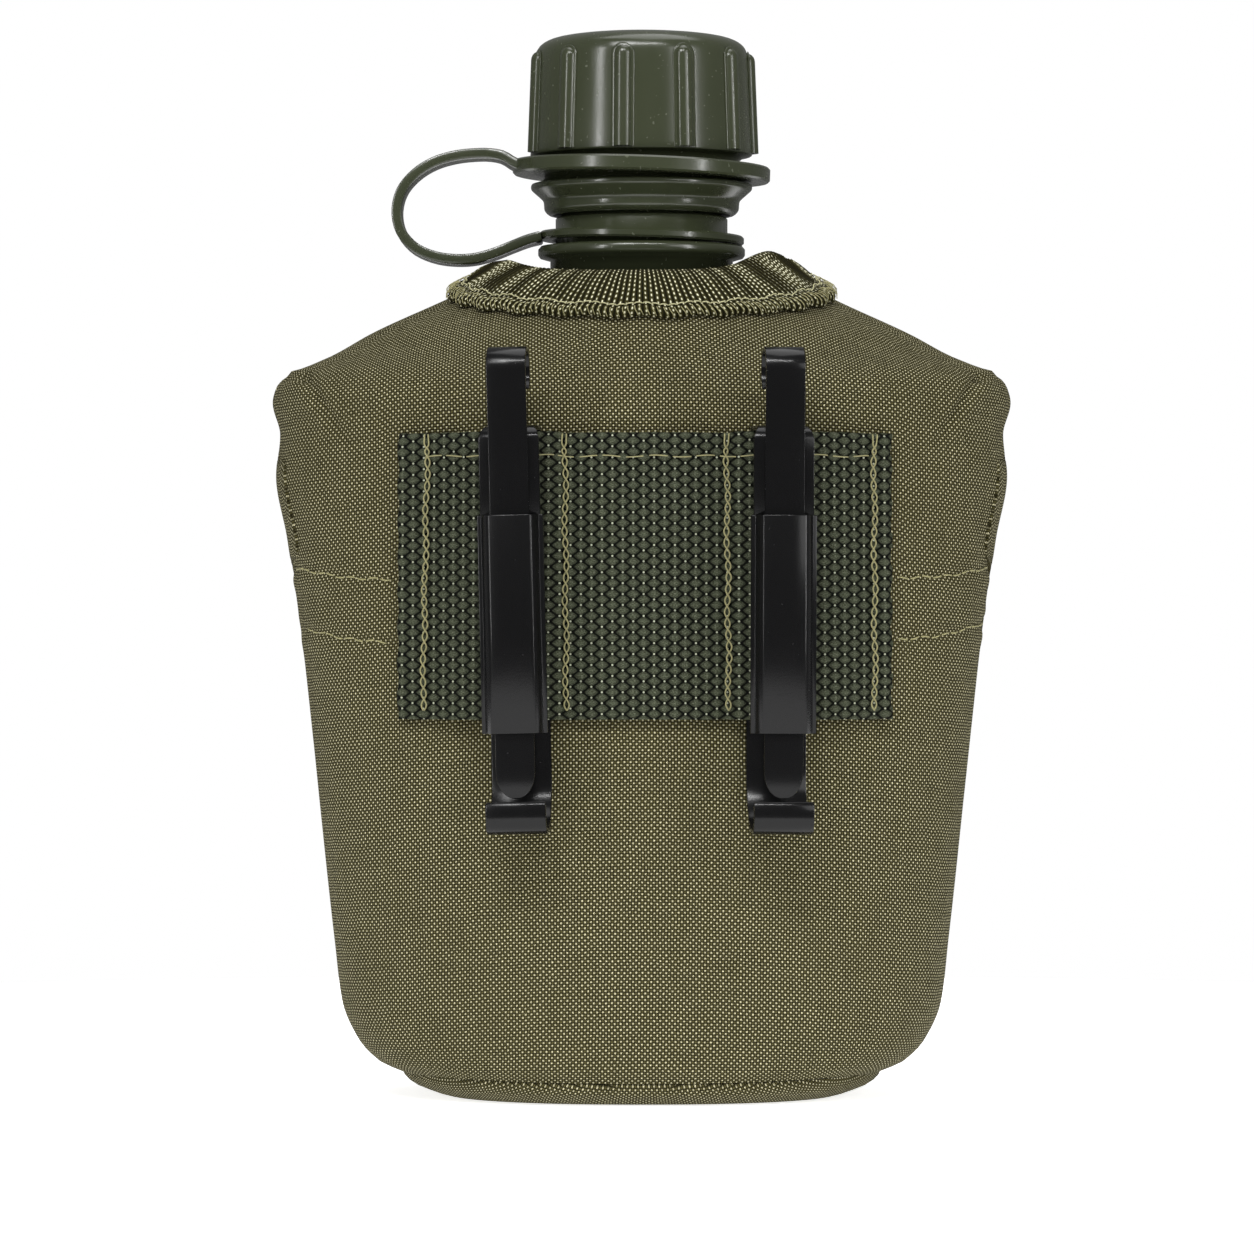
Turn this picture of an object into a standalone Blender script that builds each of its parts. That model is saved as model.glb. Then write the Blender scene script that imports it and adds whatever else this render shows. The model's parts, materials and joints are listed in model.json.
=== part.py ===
"""A one-quart plastic canteen in a lined fabric cover. Metres, +Z up, the belt side faces -Y, the base is at z = 0."""

import math

import bmesh
import bpy
from mathutils import Matrix, Vector

MM = 0.001
GAP = 0.0003

# The cover's outside: height, half width, half depth, all in millimetres.
COVER_OUTLINE = [
    (0.0, 40.5, 33.5),
    (2.5, 47.0, 36.6),
    (6.5, 53.5, 38.0),
    (11.0, 58.0, 38.8),
    (19.0, 61.5, 39.5),
    (31.0, 63.0, 40.0),
    (56.0, 65.8, 40.4),
    (90.0, 69.5, 40.6),
    (114.0, 72.7, 40.6),
    (127.0, 75.0, 40.6),
    (135.5, 74.2, 40.2),
    (142.0, 75.7, 39.2),
    (147.5, 73.0, 37.6),
    (151.0, 64.5, 36.4),
    (156.0, 55.5, 34.4),
    (163.0, 40.5, 30.9),
    (167.0, 32.5, 28.6),
    (170.0, 29.4, 27.0),
]
# The bottle's outside under the lining, up to the root of the neck.
BOTTLE_OUTLINE = [
    (5.0, 38.0, 27.0),
    (8.0, 46.5, 31.0),
    (12.0, 52.0, 33.0),
    (18.0, 55.5, 34.2),
    (30.0, 57.6, 34.9),
    (56.0, 60.4, 35.2),
    (90.0, 64.0, 35.4),
    (114.0, 66.8, 35.4),
    (128.0, 67.6, 35.2),
    (138.0, 65.0, 33.6),
    (146.0, 58.0, 31.0),
    (152.0, 49.0, 28.0),
    (157.0, 40.0, 25.0),
    (161.0, 31.0, 22.6),
    (164.5, 22.5, 20.0),
    (167.0, 18.8, 18.6),
]
# The bottle and the lining that wraps it share these levels, so that their facets follow each other.
SHARED_LEVELS = [0.0050, 0.0065, 0.0090, 0.0130, 0.0200, 0.0400, 0.0750, 0.1080, 0.1260, 0.1350]
SHARED_LEVELS += [0.1390, 0.1410]
# The cover's panels and the lining share these levels for the same reason.
BASE_LEVELS = [0.0, 0.0012, 0.0025, 0.0040]
PANEL_LEVELS = [0.0065, 0.0090, 0.0130, 0.0200, 0.0350, 0.0600, 0.0900, 0.1140, 0.1240, 0.1300]
PANEL_LEVELS += [0.1360, 0.1400]
AROUND = 48
SQUARENESS = 2.35
FABRIC = 0.0012
FRONT_TOP = 0.143
CORNER_RISE = 0.006
COLLAR_TOP = 0.1692

BOTTLE_WALL = 0.0018
NECK_STEP = 0.0177
NECK = 0.0164
BORE = 0.0142
BEAD = 0.0213
MOUTH_TOP = 0.2120

THREAD_PITCH = 0.005
THREAD_DEPTH = 0.0012
CAP_BORE = 0.01795
CAP_TOP = 0.2181
RIBS = 11
RIB_PHASE = math.radians(-100.0)
RIB_HEIGHT = 0.0010

STRAP_WIDTH = 0.0110
STRAP_THICK = 0.0021

WEB_HEIGHT = 0.05715
WEB_LEFT = -0.0481
WEB_RIGHT = 0.0492
WEB_MIDDLE = 0.1060
WEB_THICK = 0.0022
TUNNEL_STANDOFF = 0.0047
SEWN_STANDOFF = 0.0025
STITCH_COLUMNS = (-0.0421, -0.0152, 0.0166, 0.0455)

KEEPER_X = {"left": -0.0245, "right": 0.0265}
# The keepers turn outwards less than the cloth under them does.
KEEPER_YAW = 0.62
KEEPER_TILT = {"left": math.radians(-1.3), "right": math.radians(0.2)}
PLATE = 0.0010
KEEPER_HALF = 0.0060
BELT_GAP = 0.0068
SLIDE_HALF = 0.0040

SNAP_X = 0.0330
SNAP_Z = 0.1240
FLAP_RISE = 0.0036

POCKET_HALF = 0.0230
POCKET_LOW = 0.0300
POCKET_TOP = 0.0780
POCKET_DEPTH = 0.0120


def clear_scene():
    for thing in list(bpy.data.objects):
        bpy.data.objects.remove(thing, do_unlink=True)


def material(name, colour, roughness, metallic=0.0):
    made = bpy.data.materials.new(name)
    made.use_nodes = True
    shader = made.node_tree.nodes["Principled BSDF"]
    shader.inputs["Base Color"].default_value = (*colour, 1.0)
    shader.inputs["Roughness"].default_value = roughness
    shader.inputs["Metallic"].default_value = metallic
    return made


def keep(name, mesh, look):
    """The finished piece as one object with its own material."""
    bmesh.ops.recalc_face_normals(mesh, faces=mesh.faces)
    if mesh.calc_volume(signed=True) < 0:
        bmesh.ops.reverse_faces(mesh, faces=mesh.faces)
    data = bpy.data.meshes.new(name)
    mesh.to_mesh(data)
    mesh.free()
    piece = bpy.data.objects.new(name, data)
    bpy.context.scene.collection.objects.link(piece)
    piece.data.materials.append(material(name, *look))
    return piece


OLIVE_PLASTIC = ((0.035, 0.045, 0.024), 0.3)
BLACK_PLASTIC = ((0.015, 0.017, 0.013), 0.5)
DUCK = ((0.10, 0.095, 0.05), 0.9)
WEB = ((0.04, 0.05, 0.028), 0.85)
PILE = ((0.13, 0.13, 0.09), 0.95)
BLACK_STEEL = ((0.010, 0.010, 0.011), 0.35, 0.3)
DARK_BRASS = ((0.05, 0.045, 0.03), 0.4, 0.8)
RUBBER = ((0.02, 0.02, 0.02), 0.8)


def smooth_between(stations, height, column):
    """A smooth line through the stations that never overshoots between two of them."""
    h = height / MM
    if h <= stations[0][0]:
        return stations[0][column] * MM
    if h >= stations[-1][0]:
        return stations[-1][column] * MM
    slopes = []
    for low, high in zip(stations, stations[1:]):
        slopes.append((high[column] - low[column]) / (high[0] - low[0]))
    i = max(k for k in range(len(slopes)) if stations[k][0] <= h)

    def tangent(k):
        if k == 0 or k == len(stations) - 1:
            return slopes[0 if k == 0 else -1]
        before, after = slopes[k - 1], slopes[k]
        if before * after <= 0:
            return 0.0
        return 2 * before * after / (before + after)

    low, high = stations[i], stations[i + 1]
    span = high[0] - low[0]
    t = (h - low[0]) / span
    value = (
        (2 * t**3 - 3 * t**2 + 1) * low[column]
        + (t**3 - 2 * t**2 + t) * span * tangent(i)
        + (3 * t**2 - 2 * t**3) * high[column]
        + (t**3 - t**2) * span * tangent(i + 1)
    )
    return value * MM


def squareness(height):
    """The oval is squarer low down and becomes round at the neck."""
    t = min(1.0, max(0.0, (height - 0.135) / 0.032))
    return SQUARENESS + (2.0 - SQUARENESS) * t * t * (3 - 2 * t)


def power(value, exponent):
    return math.copysign(abs(value) ** exponent, value)


def outward(stations, x, y, z):
    """The surface's outward direction at a point on it."""
    step = 0.0002
    a, b = smooth_between(stations, z, 1), smooth_between(stations, z, 2)
    da = (smooth_between(stations, z + step, 1) - smooth_between(stations, z - step, 1)) / (2 * step)
    db = (smooth_between(stations, z + step, 2) - smooth_between(stations, z - step, 2)) / (2 * step)
    n = squareness(z)
    u, v = abs(x / a), abs(y / b)
    direction = Vector((
        math.copysign(u ** (n - 1), x) / a,
        math.copysign(v ** (n - 1), y) / b,
        -(u**n) * da / a - (v**n) * db / b,
    ))
    return direction.normalized()


def skin_point(stations, angle, z, offset=0.0):
    a, b = smooth_between(stations, z, 1), smooth_between(stations, z, 2)
    n = squareness(z)
    x = a * power(math.cos(angle), 2 / n)
    y = b * power(math.sin(angle), 2 / n)
    return Vector((x, y, z)) + outward(stations, x, y, z) * offset


def depth_at(stations, x, z):
    a, b = smooth_between(stations, z, 1), smooth_between(stations, z, 2)
    n = squareness(z)
    return b * max(0.0, 1 - abs(x / a) ** n) ** (1 / n)


def on_side(x, z, side, offset=0.0):
    """A point over the cover's front (side 1) or back (side -1) at this width and height."""
    y = side * depth_at(COVER_OUTLINE, x, z)
    return Vector((x, y, z)) + outward(COVER_OUTLINE, x, y, z) * offset


def bridge_rings(mesh, rings, closed):
    for low, high in zip(rings, rings[1:]):
        count = len(low)
        for i in range(count if closed else count - 1):
            j = (i + 1) % count
            mesh.faces.new((low[i], low[j], high[j], high[i]))


def fan(mesh, ring, centre):
    middle = mesh.verts.new(centre)
    for i in range(len(ring)):
        mesh.faces.new((ring[i], ring[(i + 1) % len(ring)], middle))


def closed_skin(rings, first_centre, last_centre):
    """Rings joined in order into one closed body, each end closed by a fan."""
    mesh = bmesh.new()
    made = [[mesh.verts.new(point) for point in ring] for ring in rings]
    bridge_rings(mesh, made, True)
    fan(mesh, made[0], first_centre)
    fan(mesh, made[-1], last_centre)
    return mesh


def looped_skin(rings):
    """Rings joined in order and back to the first, as for a hoop."""
    mesh = bmesh.new()
    made = [[mesh.verts.new(point) for point in ring] for ring in rings]
    bridge_rings(mesh, made + [made[0]], True)
    return mesh


def slab(outer, inner):
    """A curved sheet with thickness: two grids of points joined round their rims."""
    mesh = bmesh.new()
    front = [[mesh.verts.new(point) for point in row] for row in outer]
    back = [[mesh.verts.new(point) for point in row] for row in inner]
    bridge_rings(mesh, front, False)
    bridge_rings(mesh, back, False)
    rim_front = front[0] + [row[-1] for row in front[1:-1]] + front[-1][::-1]
    rim_front += [row[0] for row in front[-2:0:-1]]
    rim_back = back[0] + [row[-1] for row in back[1:-1]] + back[-1][::-1]
    rim_back += [row[0] for row in back[-2:0:-1]]
    bridge_rings(mesh, [rim_front, rim_back], True)
    return mesh


def circle(radius, z, count, start=0.0):
    turn = 2 * math.pi / count
    return [
        Vector((radius * math.cos(start + turn * i), radius * math.sin(start + turn * i), z))
        for i in range(count)
    ]


def prism(outline, place, low, high):
    """A flat outline carried from one distance to another along the third direction."""
    mesh = bmesh.new()
    ends = []
    for distance in (low, high):
        ends.append([mesh.verts.new(place(a, b, distance)) for a, b in outline])
    bridge_rings(mesh, ends, True)
    for end in ends:
        mesh.faces.new(end)
    bmesh.ops.triangulate(mesh, faces=[face for face in mesh.faces if len(face.verts) > 4])
    return mesh


def helper(mesh):
    """A cutter or an addition that isn't a piece of its own."""
    made = keep("helper", mesh, RUBBER)
    made.hide_render = True
    made.display_type = "WIRE"
    return made


def combine(piece, other, operation):
    modifier = piece.modifiers.new(operation.lower(), "BOOLEAN")
    modifier.operation = operation
    modifier.solver = "EXACT"
    modifier.object = other


def put_origin(piece, point):
    piece.data.transform(Matrix.Translation(-point))
    piece.location = point


def carry(piece, carrier):
    bpy.context.view_layer.update()
    piece.parent = carrier
    piece.matrix_parent_inverse = carrier.matrix_world.inverted()


def levels(low, high, count):
    return [low + (high - low) * i / (count - 1) for i in range(count)]


# ---- bottle, cap and strap ----


def helix(radius_root, radius_crest, z_start, turns, root_half, crest_half):
    """A thread ridge that runs out to nothing at both ends."""
    steps = int(turns * 28)
    rings = []
    for i in range(steps + 1):
        angle = 2 * math.pi * turns * i / steps
        z = z_start + THREAD_PITCH * angle / (2 * math.pi)
        fade = min(1.0, i / 4, (steps - i) / 4)
        crest = radius_root + (radius_crest - radius_root) * (0.15 + 0.85 * fade)
        bury = math.copysign(0.0005, radius_root - radius_crest)
        ring = []
        for radius, up in (
            (radius_root + bury, -root_half),
            (crest, -crest_half),
            (crest, crest_half),
            (radius_root + bury, root_half),
        ):
            ring.append(Vector((radius * math.cos(angle), radius * math.sin(angle), z + up)))
        rings.append(ring)
    mesh = bmesh.new()
    made = [[mesh.verts.new(point) for point in ring] for ring in rings]
    bridge_rings(mesh, made, True)
    mesh.faces.new(made[0])
    mesh.faces.new(made[-1])
    return mesh


def build_bottle():
    """The oval body, the shoulder and the neck with its bead, thread and mouth, a fine joint apart."""
    count = AROUND
    angles = [2 * math.pi / count * i for i in range(count)]
    low_joint = 0.1390
    joint = 0.1675

    def oval(z, offset=0.0):
        return [skin_point(BOTTLE_OUTLINE, angle, z, offset) for angle in angles]

    rings = [oval(z) for z in SHARED_LEVELS if z <= low_joint]
    rings += [oval(z, -BOTTLE_WALL) for z in (low_joint, 0.128, 0.100, 0.060, 0.025, 0.015, 0.0085)]
    mesh = closed_skin(rings, Vector((0, 0, 0.0056)), Vector((0, 0, 0.0088)))
    bottle = keep("bottle_shell", mesh, OLIVE_PLASTIC)
    low = low_joint + GAP
    rings = [oval(z) for z in (low, 0.1410, 0.1450, 0.1490, 0.1540, 0.1580, 0.1610, 0.1640)]
    rings.append(circle(0.0188, joint - GAP, count))
    rings.append(circle(BORE, joint - GAP, count))
    rings += [oval(z, -BOTTLE_WALL) for z in (0.1635, 0.160, 0.156, 0.151, 0.146, low)]
    keep("bottle_shoulder", looped_skin(rings), OLIVE_PLASTIC)
    rings = []
    for radius, z in (
        (BORE, joint),
        (0.0188, joint),
        (0.0188, 0.1712),
        (BEAD - 0.0004, 0.1718),
        (BEAD, 0.1724),
        (BEAD, 0.1736),
        (BEAD - 0.0005, 0.1742),
        (NECK_STEP, 0.1743),
        (NECK_STEP, 0.1798),
        (NECK_STEP - 0.0003, 0.1801),
        (NECK, 0.1803),
        (NECK, MOUTH_TOP - 0.0005),
        (NECK - 0.0005, MOUTH_TOP),
        (BORE + 0.0004, MOUTH_TOP),
        (BORE, MOUTH_TOP - 0.0005),
    ):
        rings.append(circle(radius, z, count))
    neck = keep("bottle_neck", looped_skin(rings), OLIVE_PLASTIC)
    thread = helper(helix(NECK, NECK + THREAD_DEPTH, 0.1905, 1.8, 0.0013, 0.0008))
    combine(neck, thread, "UNION")
    return bottle


def cap_angles():
    """Six points to each rib's share of the circle, closest together across the rib."""
    share = 2 * math.pi / RIBS
    angles = []
    for rib in range(RIBS):
        middle = RIB_PHASE + share * rib
        for part in (-0.5, -0.115, -0.06, 0.0, 0.06, 0.115):
            angles.append(middle + share * part)
    return angles


def build_cap():
    bump = (0.0, 0.0, 0.8, 1.0, 0.8, 0.0) * RIBS
    angles = cap_angles()

    def ring(radius, z, proud=0.0):
        made = []
        for angle, high in zip(angles, bump):
            r = radius + proud * RIB_HEIGHT * high
            made.append(Vector((r * math.cos(angle), r * math.sin(angle), z)))
        return made

    rings = []
    for radius, z, proud in (
        (CAP_BORE + 0.0002, 0.1805, 0),
        (0.0190, 0.1805, 0),
        (0.0201, 0.1817, 0),
        (0.0201, 0.1837, 0),
        (0.0228, 0.1858, 0),
        (0.0228, 0.1870, 0),
        (0.0225, 0.1872, 0),
        (0.0196, 0.1873, 0),
        (0.0196, 0.1926, 0),
        (0.0228, 0.1927, 1.3),
        (0.0224, 0.2000, 1.2),
        (0.0220, 0.2108, 1.0),
        (0.0218, 0.2138, 0.2),
        (0.0211, 0.2152, 0),
        (0.0192, 0.2165, 0),
        (0.0150, 0.2175, 0),
        (0.0080, 0.2180, 0),
    ):
        rings.append(ring(radius, z, proud))
    mesh = bmesh.new()
    made = [[mesh.verts.new(point) for point in r] for r in rings]
    inner = [
        [mesh.verts.new(point) for point in ring(CAP_BORE, 0.2139)],
        [mesh.verts.new(point) for point in ring(CAP_BORE, 0.1812)],
    ]
    bridge_rings(mesh, made, True)
    bridge_rings(mesh, inner + [made[0]], True)
    fan(mesh, made[-1], Vector((0, 0, CAP_TOP)))
    fan(mesh, inner[0], Vector((0, 0, 0.2139)))
    cap = keep("screw_cap", mesh, OLIVE_PLASTIC)
    thread = helper(helix(CAP_BORE, CAP_BORE - THREAD_DEPTH, 0.1880, 1.4, 0.0013, 0.0008))
    combine(cap, thread, "UNION")
    disc = [circle(0.0166, 0.2123, 36), circle(0.0172, 0.2126, 36), circle(0.0172, 0.2136, 36)]
    gasket = keep(
        "cap_gasket", closed_skin(disc, Vector((0, 0, 0.2123)), Vector((0, 0, 0.2136))), RUBBER
    )
    carry(gasket, cap)
    return cap


def hoop(inner, outer, z, thick, tilt, lug):
    """A flat ring round the neck, leaning a little, with a lug on its left for the band."""
    lean = Matrix.Translation((0, 0, z)) @ Matrix.Rotation(tilt, 4, "Y")
    half = thick / 2
    rings = []
    for radius, up in (
        (inner, -half),
        (outer - 0.0003, -half),
        (outer, -half + 0.0004),
        (outer, half - 0.0004),
        (outer - 0.0003, half),
        (inner, half),
    ):
        rings.append([lean @ point for point in circle(radius, up, 40)])
    mesh = looped_skin(rings)
    return mesh, prism(
        lug, lambda a, b, d: Vector((a, d, b)), -STRAP_WIDTH / 2, STRAP_WIDTH / 2
    )


def build_strap():
    ring, lug = hoop(
        0.0200,
        0.0265,
        0.1897,
        0.0029,
        math.radians(1.8),
        ((-0.0243, 0.1893), (-0.0243, 0.1912), (-0.0262, 0.1934), (-0.0277, 0.1936),
         (-0.0277, 0.1915), (-0.0265, 0.1893)),
    )
    cap_ring = keep("strap_cap_ring", ring, OLIVE_PLASTIC)
    combine(cap_ring, helper(lug), "UNION")
    ring, lug = hoop(
        0.0181,
        0.0211,
        0.1759,
        0.0018,
        math.radians(1.5),
        ((-0.0196, 0.1758), (-0.0196, 0.1772), (-0.0212, 0.1772), (-0.0226, 0.1766),
         (-0.0226, 0.1745), (-0.0212, 0.1752)),
    )
    neck_ring = keep("strap_neck_ring", ring, OLIVE_PLASTIC)
    combine(neck_ring, helper(lug), "UNION")
    path = [
        (-0.0280, 0.1926),
        (-0.0310, 0.1929),
        (-0.0345, 0.1929),
        (-0.0385, 0.1925),
        (-0.0425, 0.1914),
        (-0.0464, 0.1890),
        (-0.0493, 0.1855),
        (-0.0503, 0.1812),
        (-0.0494, 0.1771),
        (-0.0468, 0.1740),
        (-0.0428, 0.1721),
        (-0.0382, 0.1714),
        (-0.0343, 0.1716),
        (-0.0305, 0.1726),
        (-0.0262, 0.1743),
        (-0.0233, 0.1754),
    ]
    rings = []
    for i, (x, z) in enumerate(path):
        before = path[max(0, i - 1)]
        after = path[min(len(path) - 1, i + 1)]
        along = Vector((after[0] - before[0], 0, after[1] - before[1])).normalized()
        across = Vector((along.z, 0, -along.x)) * (STRAP_THICK / 2)
        wide = Vector((0, STRAP_WIDTH / 2, 0))
        middle = Vector((x, 0, z))
        rings.append([middle + across - wide, middle + across + wide,
                      middle - across + wide, middle - across - wide])
    mesh = bmesh.new()
    made = [[mesh.verts.new(point) for point in ring] for ring in rings]
    bridge_rings(mesh, made, True)
    mesh.faces.new(made[0])
    mesh.faces.new(made[-1])
    keep("strap_band", mesh, OLIVE_PLASTIC)
    return cap_ring


# ---- the sewn cover ----


def sector(angles, heights, outer, inner, top):
    faces = []
    for offset in (outer, inner):
        rows = []
        for z in heights:
            rows.append([skin_point(COVER_OUTLINE, angle, z, offset) for angle in angles])
        rows.append([skin_point(COVER_OUTLINE, angle, top(angle), offset) for angle in angles])
        faces.append(rows)
    return slab(*faces)


def front_edge(angle):
    """The front panel's top edge, which climbs to the shoulder's corner at each side."""
    t = min(1.0, max(0.0, (abs(math.cos(angle)) - 0.84) / 0.11))
    return FRONT_TOP + CORNER_RISE * t * t * (3 - 2 * t)


def build_panels():
    step = 2 * math.pi / AROUND
    half = [step * i for i in range(1, AROUND // 2)]
    angles = [math.radians(179)] + [math.pi + angle for angle in half] + [math.radians(361)]
    heights = [BASE_LEVELS[-1] + GAP] + PANEL_LEVELS
    shoulders = heights + [0.1435, 0.1465, 0.1490, 0.1520, 0.1570, 0.1630]
    back = sector(angles, shoulders, 0.0, -FABRIC, lambda angle: COLLAR_TOP - 0.0006)
    keep("cover_back_panel", back, DUCK)
    angles = [math.radians(1.7)] + half + [math.radians(178.3)]
    front = sector(angles, heights, 0.0, -FABRIC, front_edge)
    front = keep("cover_front_panel", front, DUCK)
    rings = []
    for offset, some in ((0.0, BASE_LEVELS), (-FABRIC, reversed(BASE_LEVELS))):
        for z in some:
            rings.append([skin_point(COVER_OUTLINE, step * i, z, offset) for i in range(AROUND)])
    mesh = closed_skin(rings, Vector((0, 0, 0)), Vector((0, 0, FABRIC)))
    keep("cover_bottom_panel", mesh, DUCK)
    return front


def build_lining():
    angles = [2 * math.pi / AROUND * i for i in range(AROUND)]
    depth = -FABRIC - GAP
    rings = []
    for z in BASE_LEVELS + PANEL_LEVELS:
        rings.append([skin_point(COVER_OUTLINE, angle, z, depth) for angle in angles])
    for z in reversed(SHARED_LEVELS):
        rings.append([skin_point(BOTTLE_OUTLINE, angle, z, GAP) for angle in angles])
    mesh = closed_skin(rings, Vector((0, 0, 0.0017)), Vector((0, 0, 0.0046)))
    return keep("pile_lining", mesh, PILE)


def build_collar():
    """The binding folded over the back panel's neck edge, deeper at the middle of the back."""
    rings = []
    step = 2 * math.pi / AROUND
    angles = [math.radians(179)] + [math.pi + step * i for i in range(1, AROUND // 2)]
    for angle in angles + [math.radians(361)]:
        back = max(0.0, -math.sin(angle))
        low = 0.1650 - 0.0070 * back
        ring = []
        for offset, z in (
            (0.0006, low), (0.0018, low + 0.0002), (0.0022, low + 0.004), (0.0023, 0.1668),
            (0.0016, 0.1692), (0.0, COLLAR_TOP + 0.0010), (-0.0014, COLLAR_TOP + 0.0008),
            (-0.0028, 0.1680), (-0.0028, 0.1640), (-0.0018, 0.1640),
            (-0.0018, COLLAR_TOP - 0.0002), (0.0006, COLLAR_TOP - 0.0002),
        ):
            ring.append(skin_point(COVER_OUTLINE, angle, z, offset))
        rings.append(ring)
    mesh = bmesh.new()
    made = [[mesh.verts.new(point) for point in ring] for ring in rings]
    bridge_rings(mesh, made, True)
    mesh.faces.new(made[0])
    mesh.faces.new(made[-1])
    bmesh.ops.triangulate(mesh, faces=[face for face in mesh.faces if len(face.verts) > 4])
    keep("collar_binding", mesh, DUCK)


def ridge_height(x):
    """The height at which the cover is this wide, which is the top of the shoulder there."""
    low, high = 0.1475, 0.1700
    for _ in range(40):
        middle = (low + high) / 2
        if smooth_between(COVER_OUTLINE, middle, 1) > abs(x):
            low = middle
        else:
            high = middle
    return low


def fold_height(x):
    """Just in front of the ridge, where the flap starts."""
    low, high = ridge_height(x) - 0.0010, ridge_height(x)
    for _ in range(40):
        middle = (low + high) / 2
        if depth_at(COVER_OUTLINE, x, middle) > 0.0026:
            low = middle
        else:
            high = middle
    return low


def flap_standoff(part):
    t = min(1.0, max(0.0, part / 0.55))
    return 0.0004 + (FLAP_RISE - 0.0004) * t * t * (3 - 2 * t)


def build_flap(side, sign):
    """The front flap from the shoulder's ridge down over the front panel, with a rounded end."""
    outer, inner = [], []
    columns = 11
    for part in (0.0, 0.012, 0.04, 0.10, 0.18, 0.27, 0.37, 0.5, 0.63, 0.76, 0.88, 1.0):
        row_out, row_in = [], []
        for u in levels(-1.0, 1.0, columns):
            top_x = 0.0492 + 0.0152 * u
            end_x = 0.0350 + 0.0150 * u
            low = 0.1260 - 0.0130 * math.sqrt(max(0.0, 1 - (u * 0.97) ** 2))
            x = top_x + (end_x - top_x) * part
            z = fold_height(x) + (low - ridge_height(top_x)) * part
            x *= sign
            y = depth_at(COVER_OUTLINE, x, z)
            normal = outward(COVER_OUTLINE, x, y, z)
            base = Vector((x, y, z))
            row_in.append(base + normal * flap_standoff(part))
            row_out.append(base + normal * (flap_standoff(part) + FABRIC))
        outer.append(row_out)
        inner.append(row_in)
    flap = keep(f"flap_{side}", slab(outer, inner), DUCK)
    hinge = (outer[0][0] + outer[0][-1]) / 2
    put_origin(flap, hinge)
    return flap


def snap_frame(sign):
    """A frame on the front panel at the snap: Z points out of the cover."""
    place = on_side(sign * SNAP_X, SNAP_Z, 1)
    out = outward(COVER_OUTLINE, place.x, place.y, place.z)
    turn = out.to_track_quat("Z", "Y").to_matrix().to_4x4()
    return Matrix.Translation(place) @ turn


def turned(frame, profile, count=24):
    """A small turned part: radius and height pairs, closed on the axis at both ends."""
    rings = []
    for radius, up in profile:
        rings.append([frame @ point for point in circle(radius, up, count)])
    first = frame @ Vector((0, 0, profile[0][1]))
    last = frame @ Vector((0, 0, profile[-1][1]))
    return closed_skin(rings, first, last)


def build_snaps(front, lining, flap, side, sign):
    frame = snap_frame(sign)
    gap_in = 0.0029
    hole = [(0.0023, -0.003), (0.0023, 0.002)]
    combine(front, helper(turned(frame, hole, 20)), "DIFFERENCE")
    recess = [(0.0052, -0.0026), (0.0052, 0.0002)]
    combine(lining, helper(turned(frame, recess, 20)), "DIFFERENCE")
    hole = [(0.0021, gap_in - 0.002), (0.0021, gap_in + 0.004)]
    cutter = helper(turned(frame, hole, 20))
    combine(flap, cutter, "DIFFERENCE")
    post = turned(frame, [(0.0046, -0.0023), (0.0046, -0.0017), (0.0020, -0.0017), (0.0020, 0.0001)])
    keep(f"snap_post_{side}", post, DARK_BRASS)
    stud = [(0.0050, 0.0004), (0.0050, 0.0009), (0.0040, 0.0010), (0.0038, 0.0014),
            (0.0030, 0.0023), (0.0018, 0.0026)]
    keep(f"snap_stud_{side}", turned(frame, stud), DARK_BRASS)
    # The socket is a cup that opens towards the stud, wide enough for the flap's slanting way off.
    rings = []
    for radius, up in (
        (0.0018, gap_in - 0.0002), (0.0043, gap_in - 0.0004), (0.0051, gap_in - 0.0014),
        (0.0060, gap_in - 0.0014), (0.0064, gap_in - 0.0004), (0.0064, gap_in + 0.0),
    ):
        rings.append([frame @ point for point in circle(radius, up - 0.0001, 24)])
    first = frame @ Vector((0, 0, gap_in - 0.0003))
    last = frame @ Vector((0, 0, gap_in - 0.0001))
    socket = keep(f"snap_socket_{side}", closed_skin(rings, first, last), DARK_BRASS)
    top = FLAP_RISE + FABRIC
    cap = [(0.0017, gap_in + 0.0002), (0.0017, top + 0.0003), (0.0072, top + 0.0003),
           (0.0076, top + 0.0007), (0.0066, top + 0.0015), (0.0040, top + 0.0021)]
    cap = keep(f"snap_cap_{side}", turned(frame, cap), DARK_BRASS)
    carry(socket, flap)
    carry(cap, flap)


# ---- webbing panel and belt keepers ----


def web_standoff(x):
    """How far the webbing's face stands off the cover: sewn down at the columns, raised between."""
    best = 0.0
    for first, second, side in (
        (STITCH_COLUMNS[0], STITCH_COLUMNS[1], "left"),
        (STITCH_COLUMNS[2], STITCH_COLUMNS[3], "right"),
    ):
        middle = KEEPER_X[side]
        if x <= first or x >= second:
            continue
        flat = 0.0070
        reach = (middle - flat - first) if x < middle else (second - middle - flat)
        t = 1.0 - max(0.0, abs(x - middle) - flat) / max(reach, 1e-6)
        t = min(1.0, max(0.0, t))
        best = t * t * (3 - 2 * t)
    return SEWN_STANDOFF + (TUNNEL_STANDOFF - SEWN_STANDOFF) * best


def build_webbing():
    low, high = WEB_MIDDLE - WEB_HEIGHT / 2, WEB_MIDDLE + WEB_HEIGHT / 2
    outer, inner = [], []
    for z in levels(low, high, 6):
        row_out, row_in = [], []
        for x in levels(WEB_LEFT, WEB_RIGHT, 37):
            off = web_standoff(x)
            row_out.append(on_side(x, z, -1, off))
            row_in.append(on_side(x, z, -1, off - WEB_THICK))
        outer.append(row_out)
        inner.append(row_in)
    keep("webbing_panel", slab(outer, inner), WEB)


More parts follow.
